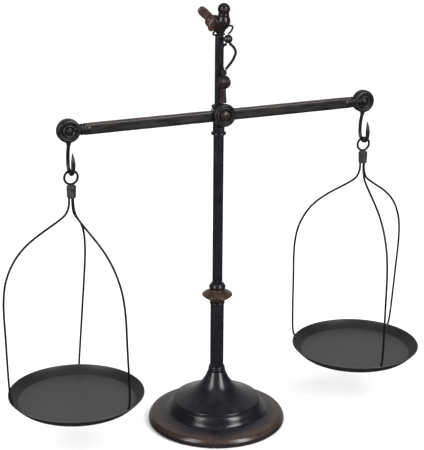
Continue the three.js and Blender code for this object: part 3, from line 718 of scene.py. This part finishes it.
def rail_shape():
    """The bar between the necks, its corners round and its faces slightly beaten."""
    arcs = [[(
        across * (BEAM_THICKNESS / 2 - RAIL_CORNER) + RAIL_CORNER * math.cos(angle),
        up * (BEAM_HEIGHT / 2 - RAIL_CORNER) + RAIL_CORNER * math.sin(angle),
    ) for angle in ((quarter + step / 6) * math.pi / 2 for step in range(7))
    ] for quarter, (across, up) in enumerate(((1, 1), (-1, 1), (-1, -1), (1, -1)))]
    section = []
    for arc, following in zip(arcs, arcs[1:] + arcs[:1]):
        section += arc
        for share in (0.25, 0.5, 0.75):
            section.append(tuple(a + (b - a) * share for a, b in zip(arc[-1], following[0])))
    shape = bmesh.new()
    rows = []
    for step in range(RAIL_STEPS + 1):
        x = RAIL_HALF * (2 * step / RAIL_STEPS - 1)
        row = []
        for y, z in section:
            beaten = 0.6 * noise.noise(Vector((x * 0.06, y * 0.25, z * 0.25)))
            beaten += 0.4 * noise.noise(Vector((x * 0.21, y * 0.3 + 7, z * 0.3)))
            inward = 1 + FORGING_DEPTH * min(0, beaten) / (BEAM_HEIGHT / 2)
            row.append(shape.verts.new((x, BEAM_Y + y * inward, BEAM_Z + z * inward)))
        rows.append(row)
    for near, far in zip(rows, rows[1:]):
        for index in range(len(section)):
            after = (index + 1) % len(section)
            shape.faces.new((near[index], near[after], far[after], far[index]))
    shape.faces.new(rows[0])
    shape.faces.new(rows[-1])
    bmesh.ops.recalc_face_normals(shape, faces=shape.faces)
    return shape


def drilled(name, shape, *cutters):
    """Cuts the cutters out of a closed shape."""
    solids = []
    for each in (shape, *cutters):
        bmesh.ops.remove_doubles(each, verts=each.verts, dist=0.002)
        bmesh.ops.recalc_face_normals(each, faces=each.faces)
        mesh = bpy.data.meshes.new(name)
        each.to_mesh(mesh)
        each.free()
        solids.append(shown(name, mesh))
    for cutter in solids[1:]:
        cut = solids[0].modifiers.new("cut", "BOOLEAN")
        cut.operation = "DIFFERENCE"
        cut.solver = "EXACT"
        cut.object = cutter
    whole = worked(solids[0])
    for cutter in solids[1:]:
        bpy.data.objects.remove(cutter)
    return whole


def cross_bore(radius, x, z, half_length=20):
    """A cylinder along Y that drills a hole through the beam."""
    shape = bmesh.new()
    bmesh.ops.create_cone(
        shape, cap_ends=True, segments=64, radius1=radius, radius2=radius, depth=2 * half_length,
        matrix=Matrix.Translation((x, BEAM_Y, z)) @ TO_FRONT,
    )
    return shape


rail = drilled("forged_rail", rail_shape(), cross_bore(HUB_BORE, 0, BOLT_Z))
fitted("forged_rail", rail, rail_blacking, "dark_casting", "beam", "beam_bar")
boss = turned(lathe_ring(HUB_BORE, 9.4, 7.1, 12.5, 0.5), loop=True)
fitted("hub_boss", boss, end_blacking, "dark_casting", "beam", "beam_bar", place=ON_BOLT)

NECK_PROFILE = [
    (0, 153.6), (5.8, 153.8), (6.1, 154.6), (6.1, 157.4), (5.7, 158.2), (5.8, 158.8),
    (6.4, 159.5), (6.5, 160.3), (6.1, 161.0), (5.7, 161.6), (6.0, 162.2), (6.5, 162.8),
    (6.5, 163.6), (6.0, 164.3), (5.7, 164.9), (6.0, 165.5), (6.5, 166.2), (6.6, 167.4),
    (6.4, 169), (6.2, 170.6), (6.2, 172), (0, 172),
]
EYE_PROFILE = [
    (0, -3.6), (8.1, -3.6), (8.4, -3.7), (8.7, -4.5), (9.2, -4.95), (10.4, -5), (11.7, -4.75),
    (12.5, -4.0), (12.85, -2.8), (12.9, -1), (12.9, 1), (12.85, 2.8), (12.5, 4.0), (11.7, 4.75),
    (10.4, 5), (9.2, 4.95), (8.7, 4.5), (8.4, 3.7), (8.1, 3.6), (0, 3.6),
]
ROSETTE_PROFILE = [
    (4.2, 3.9), (7.0, 3.9), (7.3, 4.3), (7.2, 5.0), (6.6, 5.6), (5.9, 5.8), (5.3, 5.5), (4.7, 4.9),
    (4.2, 4.5),
]
PIN_PROFILE = [
    (0, -5.7), (1.6, -5.7), (1.9, -5.4), (1.9, 0), (1.9, 3.9), (3.9, 3.9), (3.9, 4.4), (3.5, 4.7),
    (3.0, 4.8), (2.8, 5.3), (2.3, 5.8), (1.3, 6.05), (0, 6.1),
]
CAP_PROFILE = [(2.2, -5.4), (3.6, -5.3), (3.9, -4.6), (3.9, -4.1), (2.2, -3.9)]
LUG_ROOM = 7.2
LUG_SLOT = 4.8


def lug_pocket(x):
    """The mortise in an eye: round above the pin, and open below for the hook to swing."""
    outline = [(LUG_ROOM * math.cos(a), LUG_ROOM * math.sin(a)) for a in
               (math.pi * step / 24 for step in range(25))] + [(-LUG_ROOM, -16), (LUG_ROOM, -16)]
    shape = bmesh.new()
    front, back = (
        [shape.verts.new((x + u, BEAM_Y + y, BEAM_Z + w)) for u, w in outline]
        for y in (-LUG_SLOT / 2, LUG_SLOT / 2)
    )
    shape.faces.new(front)
    shape.faces.new(back)
    for index in range(len(outline)):
        after = (index + 1) % len(outline)
        shape.faces.new((front[index], front[after], back[after], back[index]))
    return shape


for end, side in ENDS:
    at_eye = Matrix.Translation((side * ARM, BEAM_Y, BEAM_Z))
    lay_along = Matrix.Translation((0, BEAM_Y, BEAM_Z)) @ Matrix.Diagonal((1, 0.68, 1, 1))
    lay_along = lay_along @ Matrix.Rotation(side * math.pi / 2, 4, "Y")
    neck = turned(NECK_PROFILE, passes=2)
    fitted(f"{end}_neck", neck, end_blacking, "dark_casting", "beam", "beam_bar", place=lay_along)
    eye = turned(EYE_PROFILE, passes=2)
    bmesh.ops.transform(eye, matrix=at_eye @ TO_FRONT, verts=eye.verts)
    bore = cross_bore(PIN_BORE, side * ARM, BEAM_Z)
    eye = drilled(f"{end}_eye", eye, lug_pocket(side * ARM), bore)
    fitted(f"{end}_eye", eye, end_blacking, "dark_casting", "beam", "beam_bar")
    for name, cad_name, profile, loop, turn in (
        ("front_boss", "front_rosette", ROSETTE_PROFILE, True, 0),
        ("rear_boss", "rear_rosette", ROSETTE_PROFILE, True, math.pi),
        ("hook_pin", "eye_pin", PIN_PROFILE, False, 0),
        ("pin_ring", "pin_cap", CAP_PROFILE, True, 0),
    ):
        fitted(
            f"{end}_{name}", turned(profile, loop=loop, passes=2), end_blacking, "dark_casting",
            "beam", f"{end}_{cad_name}", place=at_eye @ Matrix.Rotation(turn, 4, "Z") @ TO_FRONT,
        )

# The hub cap is a ringed disc, cast in one piece, that covers the beam's bush and the bolt.

cap_back = -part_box("hub_cap")[1].y / MM
HUB_PROFILE = [(radius, cap_back + height) for radius, height in (
    (2.9, 0), (11.8, 0), (12.6, 0.4), (13, 1.4), (13, 2.8), (12.9, 4.2), (12.5, 5.2), (11.7, 5.8),
    (10.9, 5.9), (10.4, 5.5), (10.1, 4.9), (9.8, 4.9), (9.6, 5.5), (9.0, 6.1), (8.2, 6.2),
    (7.5, 5.8), (7.2, 5.0), (7.0, 4.3), (6.5, 4.1), (2.9, 4.1),
)]
hub = turned(HUB_PROFILE, loop=True, passes=2)
fitted("ringed_hub", hub, end_blacking, "dark_casting", "beam", "hub_cap", place=ON_BOLT)

# ---------------- hooks
# Each hook is forged from round bar: flattened to a lug on the eye's pin, bowed back and round,
# fuller on its rising leg and drawn out to a point.

HOOK_DROP = 46.0
HOOK_REACH = 5.0
HOOK_GAPE = 17.4


def smooth_path(points, per_span=8):
    """A curve through the points, each (x, y, z, radius), as a close row of the same."""
    path = []
    padded = [points[0], *points, points[-1]]
    for a, b, c, d in zip(padded, padded[1:], padded[2:], padded[3:]):
        for step in range(per_span):
            t = step / per_span
            path.append(tuple(
                0.5 * (2 * q + (r - p) * t + (2 * p - 5 * q + 4 * r - s) * t ** 2
                       + (3 * q - p - 3 * r + s) * t ** 3)
                for p, q, r, s in zip(a, b, c, d)
            ))
    path.append(points[-1])
    return path


def geometry_tree(name, **inputs):
    """An empty geometry node tree and its inputs; _ stands for a space in an input's name."""
    tree = bpy.data.node_groups.new(name, "GeometryNodeTree")
    for title, kind in inputs.items():
        tree.interface.new_socket(
            title.replace("_", " "), in_out="INPUT", socket_type=f"NodeSocket{kind}"
        )
    tree.interface.new_socket("Result", in_out="OUTPUT", socket_type="NodeSocketGeometry")
    return tree, node(tree, "NodeGroupInput").outputs


def closed_off(tree, geometry, finish):
    """The end of a tree: real geometry with its material."""
    real = node(tree, "GeometryNodeRealizeInstances", [("Geometry", geometry)])
    dressed = node(tree, "GeometryNodeSetMaterial", [
        ("Geometry", real.outputs[0]), ("Material", finish),
    ])
    node(tree, "NodeGroupOutput", [("Result", dressed.outputs[0])])
    return tree


def sweep_tree(strands):
    """Geometry nodes that lay one or more round strands along a row of edges. The strands turn
    about each other, and the attribute thickness gives their radius."""
    tree, given = geometry_tree(
        f"sweep_of_{strands}", Route="Geometry", Sides="Int", Turns="Float",
        Strand_offset="Float", Finish="Material",
    )
    line = node(tree, "GeometryNodeMeshToCurve", [("Mesh", given["Route"])])
    share = node(tree, "GeometryNodeSplineParameter").outputs["Factor"]
    angle = share
    for factor in (given["Turns"], 2 * math.pi):
        product = node(tree, "ShaderNodeMath", [(0, angle), (1, factor)], operation="MULTIPLY")
        angle = product.outputs[0]
    tilted = node(tree, "GeometryNodeSetCurveTilt", [("Curve", line.outputs[0]), ("Tilt", angle)])
    circle = node(tree, "GeometryNodeCurvePrimitiveCircle", [
        ("Resolution", given["Sides"]), ("Radius", 1.0),
    ])
    sections = node(tree, "GeometryNodeJoinGeometry")
    for strand in range(strands):
        around = 2 * math.pi * strand / strands
        offset = node(tree, "ShaderNodeVectorMath", [
            (0, (math.cos(around), math.sin(around), 0)), ("Scale", given["Strand offset"]),
        ], operation="SCALE")
        moved = node(tree, "GeometryNodeTransform", [
            ("Geometry", circle.outputs["Curve"]), ("Translation", offset.outputs[0]),
        ])
        tree.links.new(moved.outputs[0], sections.inputs[0])
    thickness = node(tree, "GeometryNodeInputNamedAttribute", [("Name", "thickness")])
    swept = node(tree, "GeometryNodeCurveToMesh", [
        ("Curve", tilted.outputs[0]),
        ("Profile Curve", sections.outputs[0]),
        ("Scale", thickness.outputs["Attribute"]),
        ("Fill Caps", True),
    ])
    return closed_off(tree, swept.outputs[0], given["Finish"])


def grown(base_mesh, tree, **inputs):
    """The mesh that a tree makes from a base mesh, as a bmesh; inputs are named as in the tree,
    with _ for a space."""
    holder = shown("grown", base_mesh)
    maker = holder.modifiers.new("maker", "NODES")
    maker.node_group = tree
    for item in tree.interface.items_tree:
        if item.name.replace(" ", "_") in inputs:
            maker[item.identifier] = inputs[item.name.replace(" ", "_")]
    return worked(holder)


SINGLE = sweep_tree(1)


def drawn(points, finish, tree=SINGLE, sides=18, turns=0.0, offset=0.0, per_span=8):
    """Wire laid along a smooth curve through (x, y, z, radius) points."""
    path = smooth_path(points, per_span)
    route = bpy.data.meshes.new("route")
    route.from_pydata([p[:3] for p in path], [(i, i + 1) for i in range(len(path) - 1)], [])
    thickness = route.attributes.new("thickness", "FLOAT", "POINT")
    thickness.data.foreach_set("value", [p[3] for p in path])
    return grown(route, tree, Sides=sides, Turns=turns, Strand_offset=offset, Finish=finish)


hook_blacking = metal_finish("hook_blacking", **DARK_CASTING, spread=4.0, stretch=(1, 1, 0.4))
half_gape = HOOK_GAPE / 2
hook_path = [
    (0, 0, -10, 1.9), (0, 0.1, -14, 2.0), (0, 1.9, -20, 2.0), (0, 3.5, -26, 2.0),
    (0, 3.9, -32, 2.0),
]
for step in range(7):
    angle = math.pi * step / 6
    hook_path.append((
        0,
        half_gape * math.cos(angle) - HOOK_REACH,
        half_gape - HOOK_DROP - half_gape * math.sin(angle),
        2.0 + 0.05 * step,
    ))
hook_path += [(0, -13.9, -34, 2.45), (0, -13.7, -30, 2.2), (0, -13, -26, 1.5),
              (0, -12.2, -23.2, 0.85), (0, -11.8, -21.8, 0.3)]
LUG_PROFILE = [(2.3, -2), (5.1, -2), (5.6, -1.6), (5.6, 1.6), (5.1, 2), (2.3, 2)]
TAPER_PROFILE = [
    (0, -18), (1.9, -18), (2.1, -16.5), (2.8, -14), (3.6, -11), (4.2, -7), (4.5, -3), (4.5, -2.8),
    (0, -2.8),
]
for end, side in ENDS:
    at_pin = Matrix.Translation((side * ARM, BEAM_Y, BEAM_Z))
    taper = turned(TAPER_PROFILE, passes=2, steps=64)
    for vert in taper.verts:
        vert.co.y *= min(1.0, 1.95 / max(vert.co.xy.length, 0.1))
        vert.co.y += 0.08 * max(0, -14 - vert.co.z) ** 2
    for name, shape, place in (
        ("hook_bow", drawn(hook_path, hook_blacking), at_pin),
        ("hook_lug", turned(LUG_PROFILE, loop=True, passes=2, steps=64), at_pin @ TO_FRONT),
        ("hook_taper", taper, at_pin),
    ):
        fitted(
            f"{end}_{name}", shape, hook_blacking, "dark_casting", f"{end}_hook", f"{end}_hook",
            place=place,
        )

# ---------------- hangers and pans
# A bent ring hangs in each hook and is brazed to a crimped ferrule. Three black wires fan out of
# the ferrule, swing round the load and are brazed inside the rim of a spun sheet pan.

wire_lacquer = metal_finish(
    "wire_lacquer", skin=(3, 3, 3), cloud=(6, 6, 6), rubbed=(36, 32, 30),
    gloss=(0.42, 0.54), specular=0.3, edge=(0.56, 0.7), grain=0.5, grain_depth=0.04, spread=6.0,
)
ferrule_lacquer = metal_finish(
    "ferrule_lacquer", skin=(30, 29, 29), cloud=(48, 45, 44), rubbed=(88, 80, 76),
    gloss=(0.36, 0.5), edge=(0.51, 0.56), grain=0.8, grain_depth=0.12, spread=4.0,
)


PAN_SHEET = 1.0
PAN_WALL = 9.4
PAN_FLOOR_REACH = 65.6


def pan_finish(name, centre):
    """Charcoal sheet with faint rings from spinning, painted shade on its walls and a bare thin
    rim.
    """

    def rim_band(tree, point):
        return ramp(tree, height_of(tree, point), (pan_top - 0.6) * MM, (pan_top - 0.1) * MM)

    finish = metal_finish(
        name, skin=(46, 45, 46), cloud=(51, 50, 51), rubbed=(62, 60, 61),
        gloss=(0.4, 0.48), edge=(0.54, 0.6), grain=0.6, grain_depth=0.04, spread=14.0,
        specular=0.45, zone=rim_band,
    )
    tree = finish.node_tree
    bump = next(n for n in tree.nodes if n.type == "BUMP")
    point = next(n for n in tree.nodes if n.type == "TEX_COORD").outputs["Object"]
    centred = node(tree, "ShaderNodeMapping", [
        ("Vector", point), ("Location", tuple(-centre * MM)),
    ])
    rings = node(tree, "ShaderNodeTexWave", [
        ("Vector", centred.outputs[0]), ("Scale", 160.0), ("Distortion", 0.6), ("Detail", 2.0),
    ], wave_type="RINGS", rings_direction="Z")
    spun = node(tree, "ShaderNodeBump", [
        ("Strength", 0.25), ("Distance", 0.02 * MM), ("Height", rings.outputs["Fac"]),
        ("Normal", bump.outputs[0]),
    ])
    shader = tree.nodes["Principled BSDF"]
    tree.links.new(spun.outputs[0], shader.inputs["Normal"])
    # Painted shade: the walls, outside the floor's reach and below the rim, are darkened to near
    # black.
    inner, outer = (PAN_FLOOR_REACH - 1.2) * MM, (PAN_FLOOR_REACH + 0.8) * MM
    below_rim = ramp(tree, height_of(tree, point), (pan_top - 0.5) * MM, (pan_top - 1.2) * MM)
    outside_floor = ramp(tree, reach_of(tree, centred.outputs[0]), inner, outer)
    wall = combined(tree, "MULTIPLY", outside_floor, below_rim)
    coat = shader.inputs["Base Color"].links[0].from_socket
    tree.links.new(blended(tree, wall, coat, tone(24, 22, 22)), shader.inputs["Base Color"])
    return finish


WIRE_PROFILE = [
    (2.7, 305.4), (2.7, 300.4), (3.2, 291), (6.9, 282), (15.4, 275), (26.3, 268), (40.1, 259),
    (53.6, 248), (65, 234), (73.6, 216), (77.4, 198), (78.6, 178), (78.3, 150), (78.2, 115),
    (77.7, 89), (76.6, 79), (75.0, 74.6), (73.8, 72.2),
]
WIRE_RADIUS = 1.22
WIRE_SEAT = 73.9
RING_WIRE = 1.3
# Where each wire is brazed round its pan, in degrees from +X, and how far it twists going up.
WIRE_PLACES = {
    "left": {"a": (69, -13), "b": (184, -13), "c": (300, -10)},
    "right": {"a": (27.5, -11.5), "b": (141.5, -1), "c": (264.5, 0.5)},
}


def braze(shape, radii, centre, seed):
    """Adds a small uneven blob of brazing metal."""
    found = bmesh.ops.create_icosphere(shape, subdivisions=4, radius=1)["verts"]
    for vert in found:
        lump = 1 - 0.16 * (0.5 + noise.noise(vert.co * 1.7 + Vector((seed, 0, 0))))
        vert.co = Vector(c + r * v * lump for c, r, v in zip(centre, radii, vert.co))


for end, side in ENDS:
    hanger = f"{end}_hanger"
    pan_centre, _, pan_top, pan_radius = spot(f"{end}_pan")
    hang_at = Matrix.Translation((side * ARM, pan_centre.y, 0))
    _, ring_bottom, ring_top, _ = spot(f"{end}_ring")
    ring_radius = (ring_top - ring_bottom) / 2 - RING_WIRE
    section = [
        (ring_radius + RING_WIRE * math.cos(a), RING_WIRE * math.sin(a))
        for a in (2 * math.pi * step / 18 for step in range(18))
    ]
    ring = turned(section, loop=True, passes=0, steps=80)
    ring_place = Matrix.Translation((side * ARM, pan_centre.y, (ring_top + ring_bottom) / 2))
    fitted(
        f"{end}_bent_ring", ring, wire_lacquer, "black_wire", hanger, f"{end}_ring",
        place=ring_place @ TO_FRONT, sharp=80,
    )
    _, ferrule_bottom, ferrule_top, ferrule_radius = spot(f"{end}_ferrule")
    crimped = turned([
        (0, ferrule_bottom + 0.7), (ferrule_radius - 1.5, ferrule_bottom + 0.5),
        (ferrule_radius - 1.0, ferrule_bottom), (ferrule_radius - 0.5, ferrule_bottom + 0.2),
        (ferrule_radius - 0.25, ferrule_bottom + 1.2), (ferrule_radius - 0.3, ferrule_bottom + 4),
        (ferrule_radius - 0.1, ferrule_bottom + 7), (ferrule_radius, ferrule_top - 1.6),
        (ferrule_radius - 0.2, ferrule_top - 0.4), (ferrule_radius - 0.9, ferrule_top),
        (2.2, ferrule_top - 0.3), (0, ferrule_top - 0.3),
    ], flutes=3, flute_depth=0.07)
    fitted(
        f"{end}_crimp", crimped, ferrule_lacquer, "satin_black", hanger, f"{end}_ferrule",
        place=hang_at,
    )
    brazing = bmesh.new()
    braze(brazing, (3.9, 3.0, 1.5), (0, 0, ferrule_top + 0.1), 3.0)
    for letter, (turn, twist) in WIRE_PLACES[end].items():
        route = []
        for radius, height in WIRE_PROFILE:
            climbed = (height - pan_top) / (WIRE_PROFILE[0][1] - pan_top)
            angle = math.radians(turn + twist * climbed)
            route.append((radius * math.cos(angle), radius * math.sin(angle), height, WIRE_RADIUS))
        wire = drawn(route, wire_lacquer, sides=16, per_span=10)
        fitted(
            f"{end}_hanger_wire_{letter}", wire, wire_lacquer, "black_wire", hanger,
            f"{end}_wire_{letter}", place=hang_at, sharp=60,
        )
        foot_angle = math.radians(turn)
        braze(brazing, (1.9, 1.9, 1.9),
              (WIRE_SEAT * math.cos(foot_angle), WIRE_SEAT * math.sin(foot_angle), pan_top - 1.0),
              turn * 0.1)
    fitted(
        f"{end}_brazing", brazing, ferrule_lacquer, "satin_black", hanger, place=hang_at, sharp=80
    )
    floor_z = pan_top - PAN_WALL
    pan = turned([
        (0, floor_z - PAN_SHEET), (64.8, floor_z - PAN_SHEET), (66.4, floor_z - 0.8),
        (68, floor_z + 0.3), (pan_radius - 3.2, pan_top - 4.2), (pan_radius - 1.1, pan_top - 1.9),
        (pan_radius - 0.1, pan_top - 1.0), (pan_radius, pan_top - 0.5),
        (pan_radius - 0.3, pan_top), (pan_radius - 0.9, pan_top),
        (pan_radius - 1.2, pan_top - 0.5), (pan_radius - 2.0, pan_top - 1.6),
        (pan_radius - 4.3, pan_top - 4.2), (67.2, floor_z + 1.3), (65.6, floor_z + 0.3),
        (63.8, floor_z), (0, floor_z),
    ])
    fitted(
        f"{end}_sheet_pan", pan, pan_finish(f"{end}_pan_sheet", pan_centre), "pan_sheet", hanger,
        f"{end}_pan", place=hang_at, sharp=60,
    )

# ---------------- tassel
# A stiff ornament of twisted wire hangs round the bird's legs: a loop, a bronze bead, two twisted
# strands that bow out and meet again, a knot, a ribbed ball and a skirt of short threads.



def upright_at(centre, height=0.0):
    """The place of a piece turned about an upright axis through centre."""
    return Matrix.Translation((centre.x, centre.y, height))


def from_perch(along, across, height, radius):
    """A point given along the perch, across it and up."""
    turned_point = PERCH_TURN @ Vector((along, across, height))
    return (turned_point.x, turned_point.y, height, radius)


LOOP_RADIUS = 1.08
loop = drawn([from_perch(along, across, height, LOOP_RADIUS) for along, across, height in (
    (9.8, -11.4, 463.6), (13.2, -8, 467.4), (14.2, -1, 469.9), (10.5, 8, 469.2), (2, 10.8, 466.4),
    (-5.8, 5.8, 462.6), (-6.8, -0.5, 461.4), (-4.9, -6.7, 461.6), (0.6, -10.6, 463.2),
    (6, -11.8, 463.6),
)], wire_lacquer)
fitted("tassel_leg_loop", loop, wire_lacquer, "black_wire", "tassel", "tassel_loop")

bead_centre, bead_bottom, bead_top, bead_radius = spot("tassel_bead")
bead = turned([
    (0, bead_bottom), (1.8, bead_bottom), (3.2, bead_bottom + 0.8), (4.5, bead_bottom + 2.4),
    (bead_radius, bead_bottom + 4.6), (4.5, bead_top - 2.4), (3.2, bead_top - 0.8), (1.8, bead_top),
    (0, bead_top),
], flutes=9, flute_depth=0.07)
fitted(
    "fluted_bead", bead, dark_bronze, "aged_bronze", "tassel", "tassel_bead",
    place=upright_at(bead_centre),
)

TWISTED = sweep_tree(2)
STRAND_WIRE = 1.2
STRANDS = {
    "right": [(6.0, -14, 453), (11.2, -14, 447.8), (13, -14, 441.9), (9.8, -13.8, 434.4),
              (5, -13.6, 428.4), (1.8, -13.5, 425)],
    "left": [(2.0, -14, 453), (-4.6, -14, 449), (-8.4, -14, 443), (-6.8, -13.8, 435.4),
             (-3.4, -13.6, 429.4), (-1.4, -13.5, 425)],
}
for hand, points in STRANDS.items():
    strand = drawn([(*p, STRAND_WIRE) for p in points], wire_lacquer, tree=TWISTED, sides=10,
                   turns=6.5, offset=0.5, per_span=14)
    fitted(
        f"{hand}_twisted_strand", strand, wire_lacquer, "black_wire", "tassel",
        f"tassel_{hand}_strand", sharp=80,
    )

knot_centre, knot_bottom, knot_top, knot_radius = spot("tassel_knot")
knot = turned([
    (0, knot_bottom), (2.4, knot_bottom), (3.1, knot_bottom + 0.7), (2.7, knot_bottom + 1.5),
    (knot_radius, knot_bottom + 2.3), (2.8, knot_bottom + 3.1), (3.3, knot_bottom + 3.9),
    (2.6, knot_bottom + 4.7), (2.8, knot_bottom + 5.3), (1.6, knot_top), (0, knot_top),
], flutes=5, flute_depth=0.08)
fitted(
    "bound_knot", knot, dark_bronze, "aged_bronze", "tassel", "tassel_knot",
    place=upright_at(knot_centre),
)

ball_centre, _, _, ball_radius = spot("tassel_ball")
BALL_RIBS = 11
BALL_ROWS = 14
ball_profile = [
    (ball_radius * math.sin(angle), ball_centre.z - ball_radius * math.cos(angle))
    for angle in (math.pi * step / BALL_ROWS for step in range(BALL_ROWS + 1))
]
ball_steps = BALL_RIBS * BALL_ROWS
ball = turned(ball_profile, flutes=BALL_RIBS, flute_depth=0.16, passes=2, steps=ball_steps)
fitted(
    "ribbed_ball", ball, dark_bronze, "aged_bronze", "tassel", "tassel_ball",
    place=upright_at(ball_centre), sharp=80,
)


def thread_tree():
    """Geometry nodes that stand a ring of round threads about Z."""
    tree, given = geometry_tree(
        "ring_of_threads", Seat="Geometry", Count="Int", Ring_radius="Float",
        Thread_radius="Float", Thread_length="Float", Finish="Material",
    )
    ring = node(tree, "GeometryNodeMeshCircle", [
        ("Vertices", given["Count"]), ("Radius", given["Ring radius"]),
    ])
    thread = node(tree, "GeometryNodeMeshCylinder", [
        ("Vertices", 10), ("Side Segments", 8), ("Fill Segments", 1),
        ("Radius", given["Thread radius"]), ("Depth", given["Thread length"]),
    ])
    stood = node(tree, "GeometryNodeInstanceOnPoints", [
        ("Points", ring.outputs[0]), ("Instance", thread.outputs[0]),
    ])
    return closed_off(tree, stood.outputs[0], given["Finish"])


skirt_centre, skirt_bottom, skirt_top, skirt_radius = spot("tassel_skirt")
skirt_height = skirt_top - skirt_bottom
THREADS = thread_tree()
skirt = bmesh.new()
for count, ring_radius, thread_radius in ((13, 3.25, 0.8), (8, 1.7, 0.8), (3, 0.5, 0.8)):
    layer = grown(bpy.data.meshes.new("skirt"), THREADS, Count=count, Ring_radius=ring_radius,
                  Thread_radius=thread_radius, Thread_length=skirt_height, Finish=dark_bronze)
    passed = bpy.data.meshes.new("skirt")
    layer.to_mesh(passed)
    layer.free()
    skirt.from_mesh(passed)
for vert in skirt.verts:
    drop = 0.5 - vert.co.z / skirt_height
    vert.co.xy *= 0.82 + 0.27 * drop - 0.08 * math.sin(math.pi * drop)
    vert.co.xy *= min(1.0, skirt_radius / max(vert.co.xy.length, 0.01))
fitted(
    "threaded_skirt", skirt, dark_bronze, "aged_bronze", "tassel", "tassel_skirt",
    place=upright_at(skirt_centre, skirt_centre.z),
    sharp=60,
)
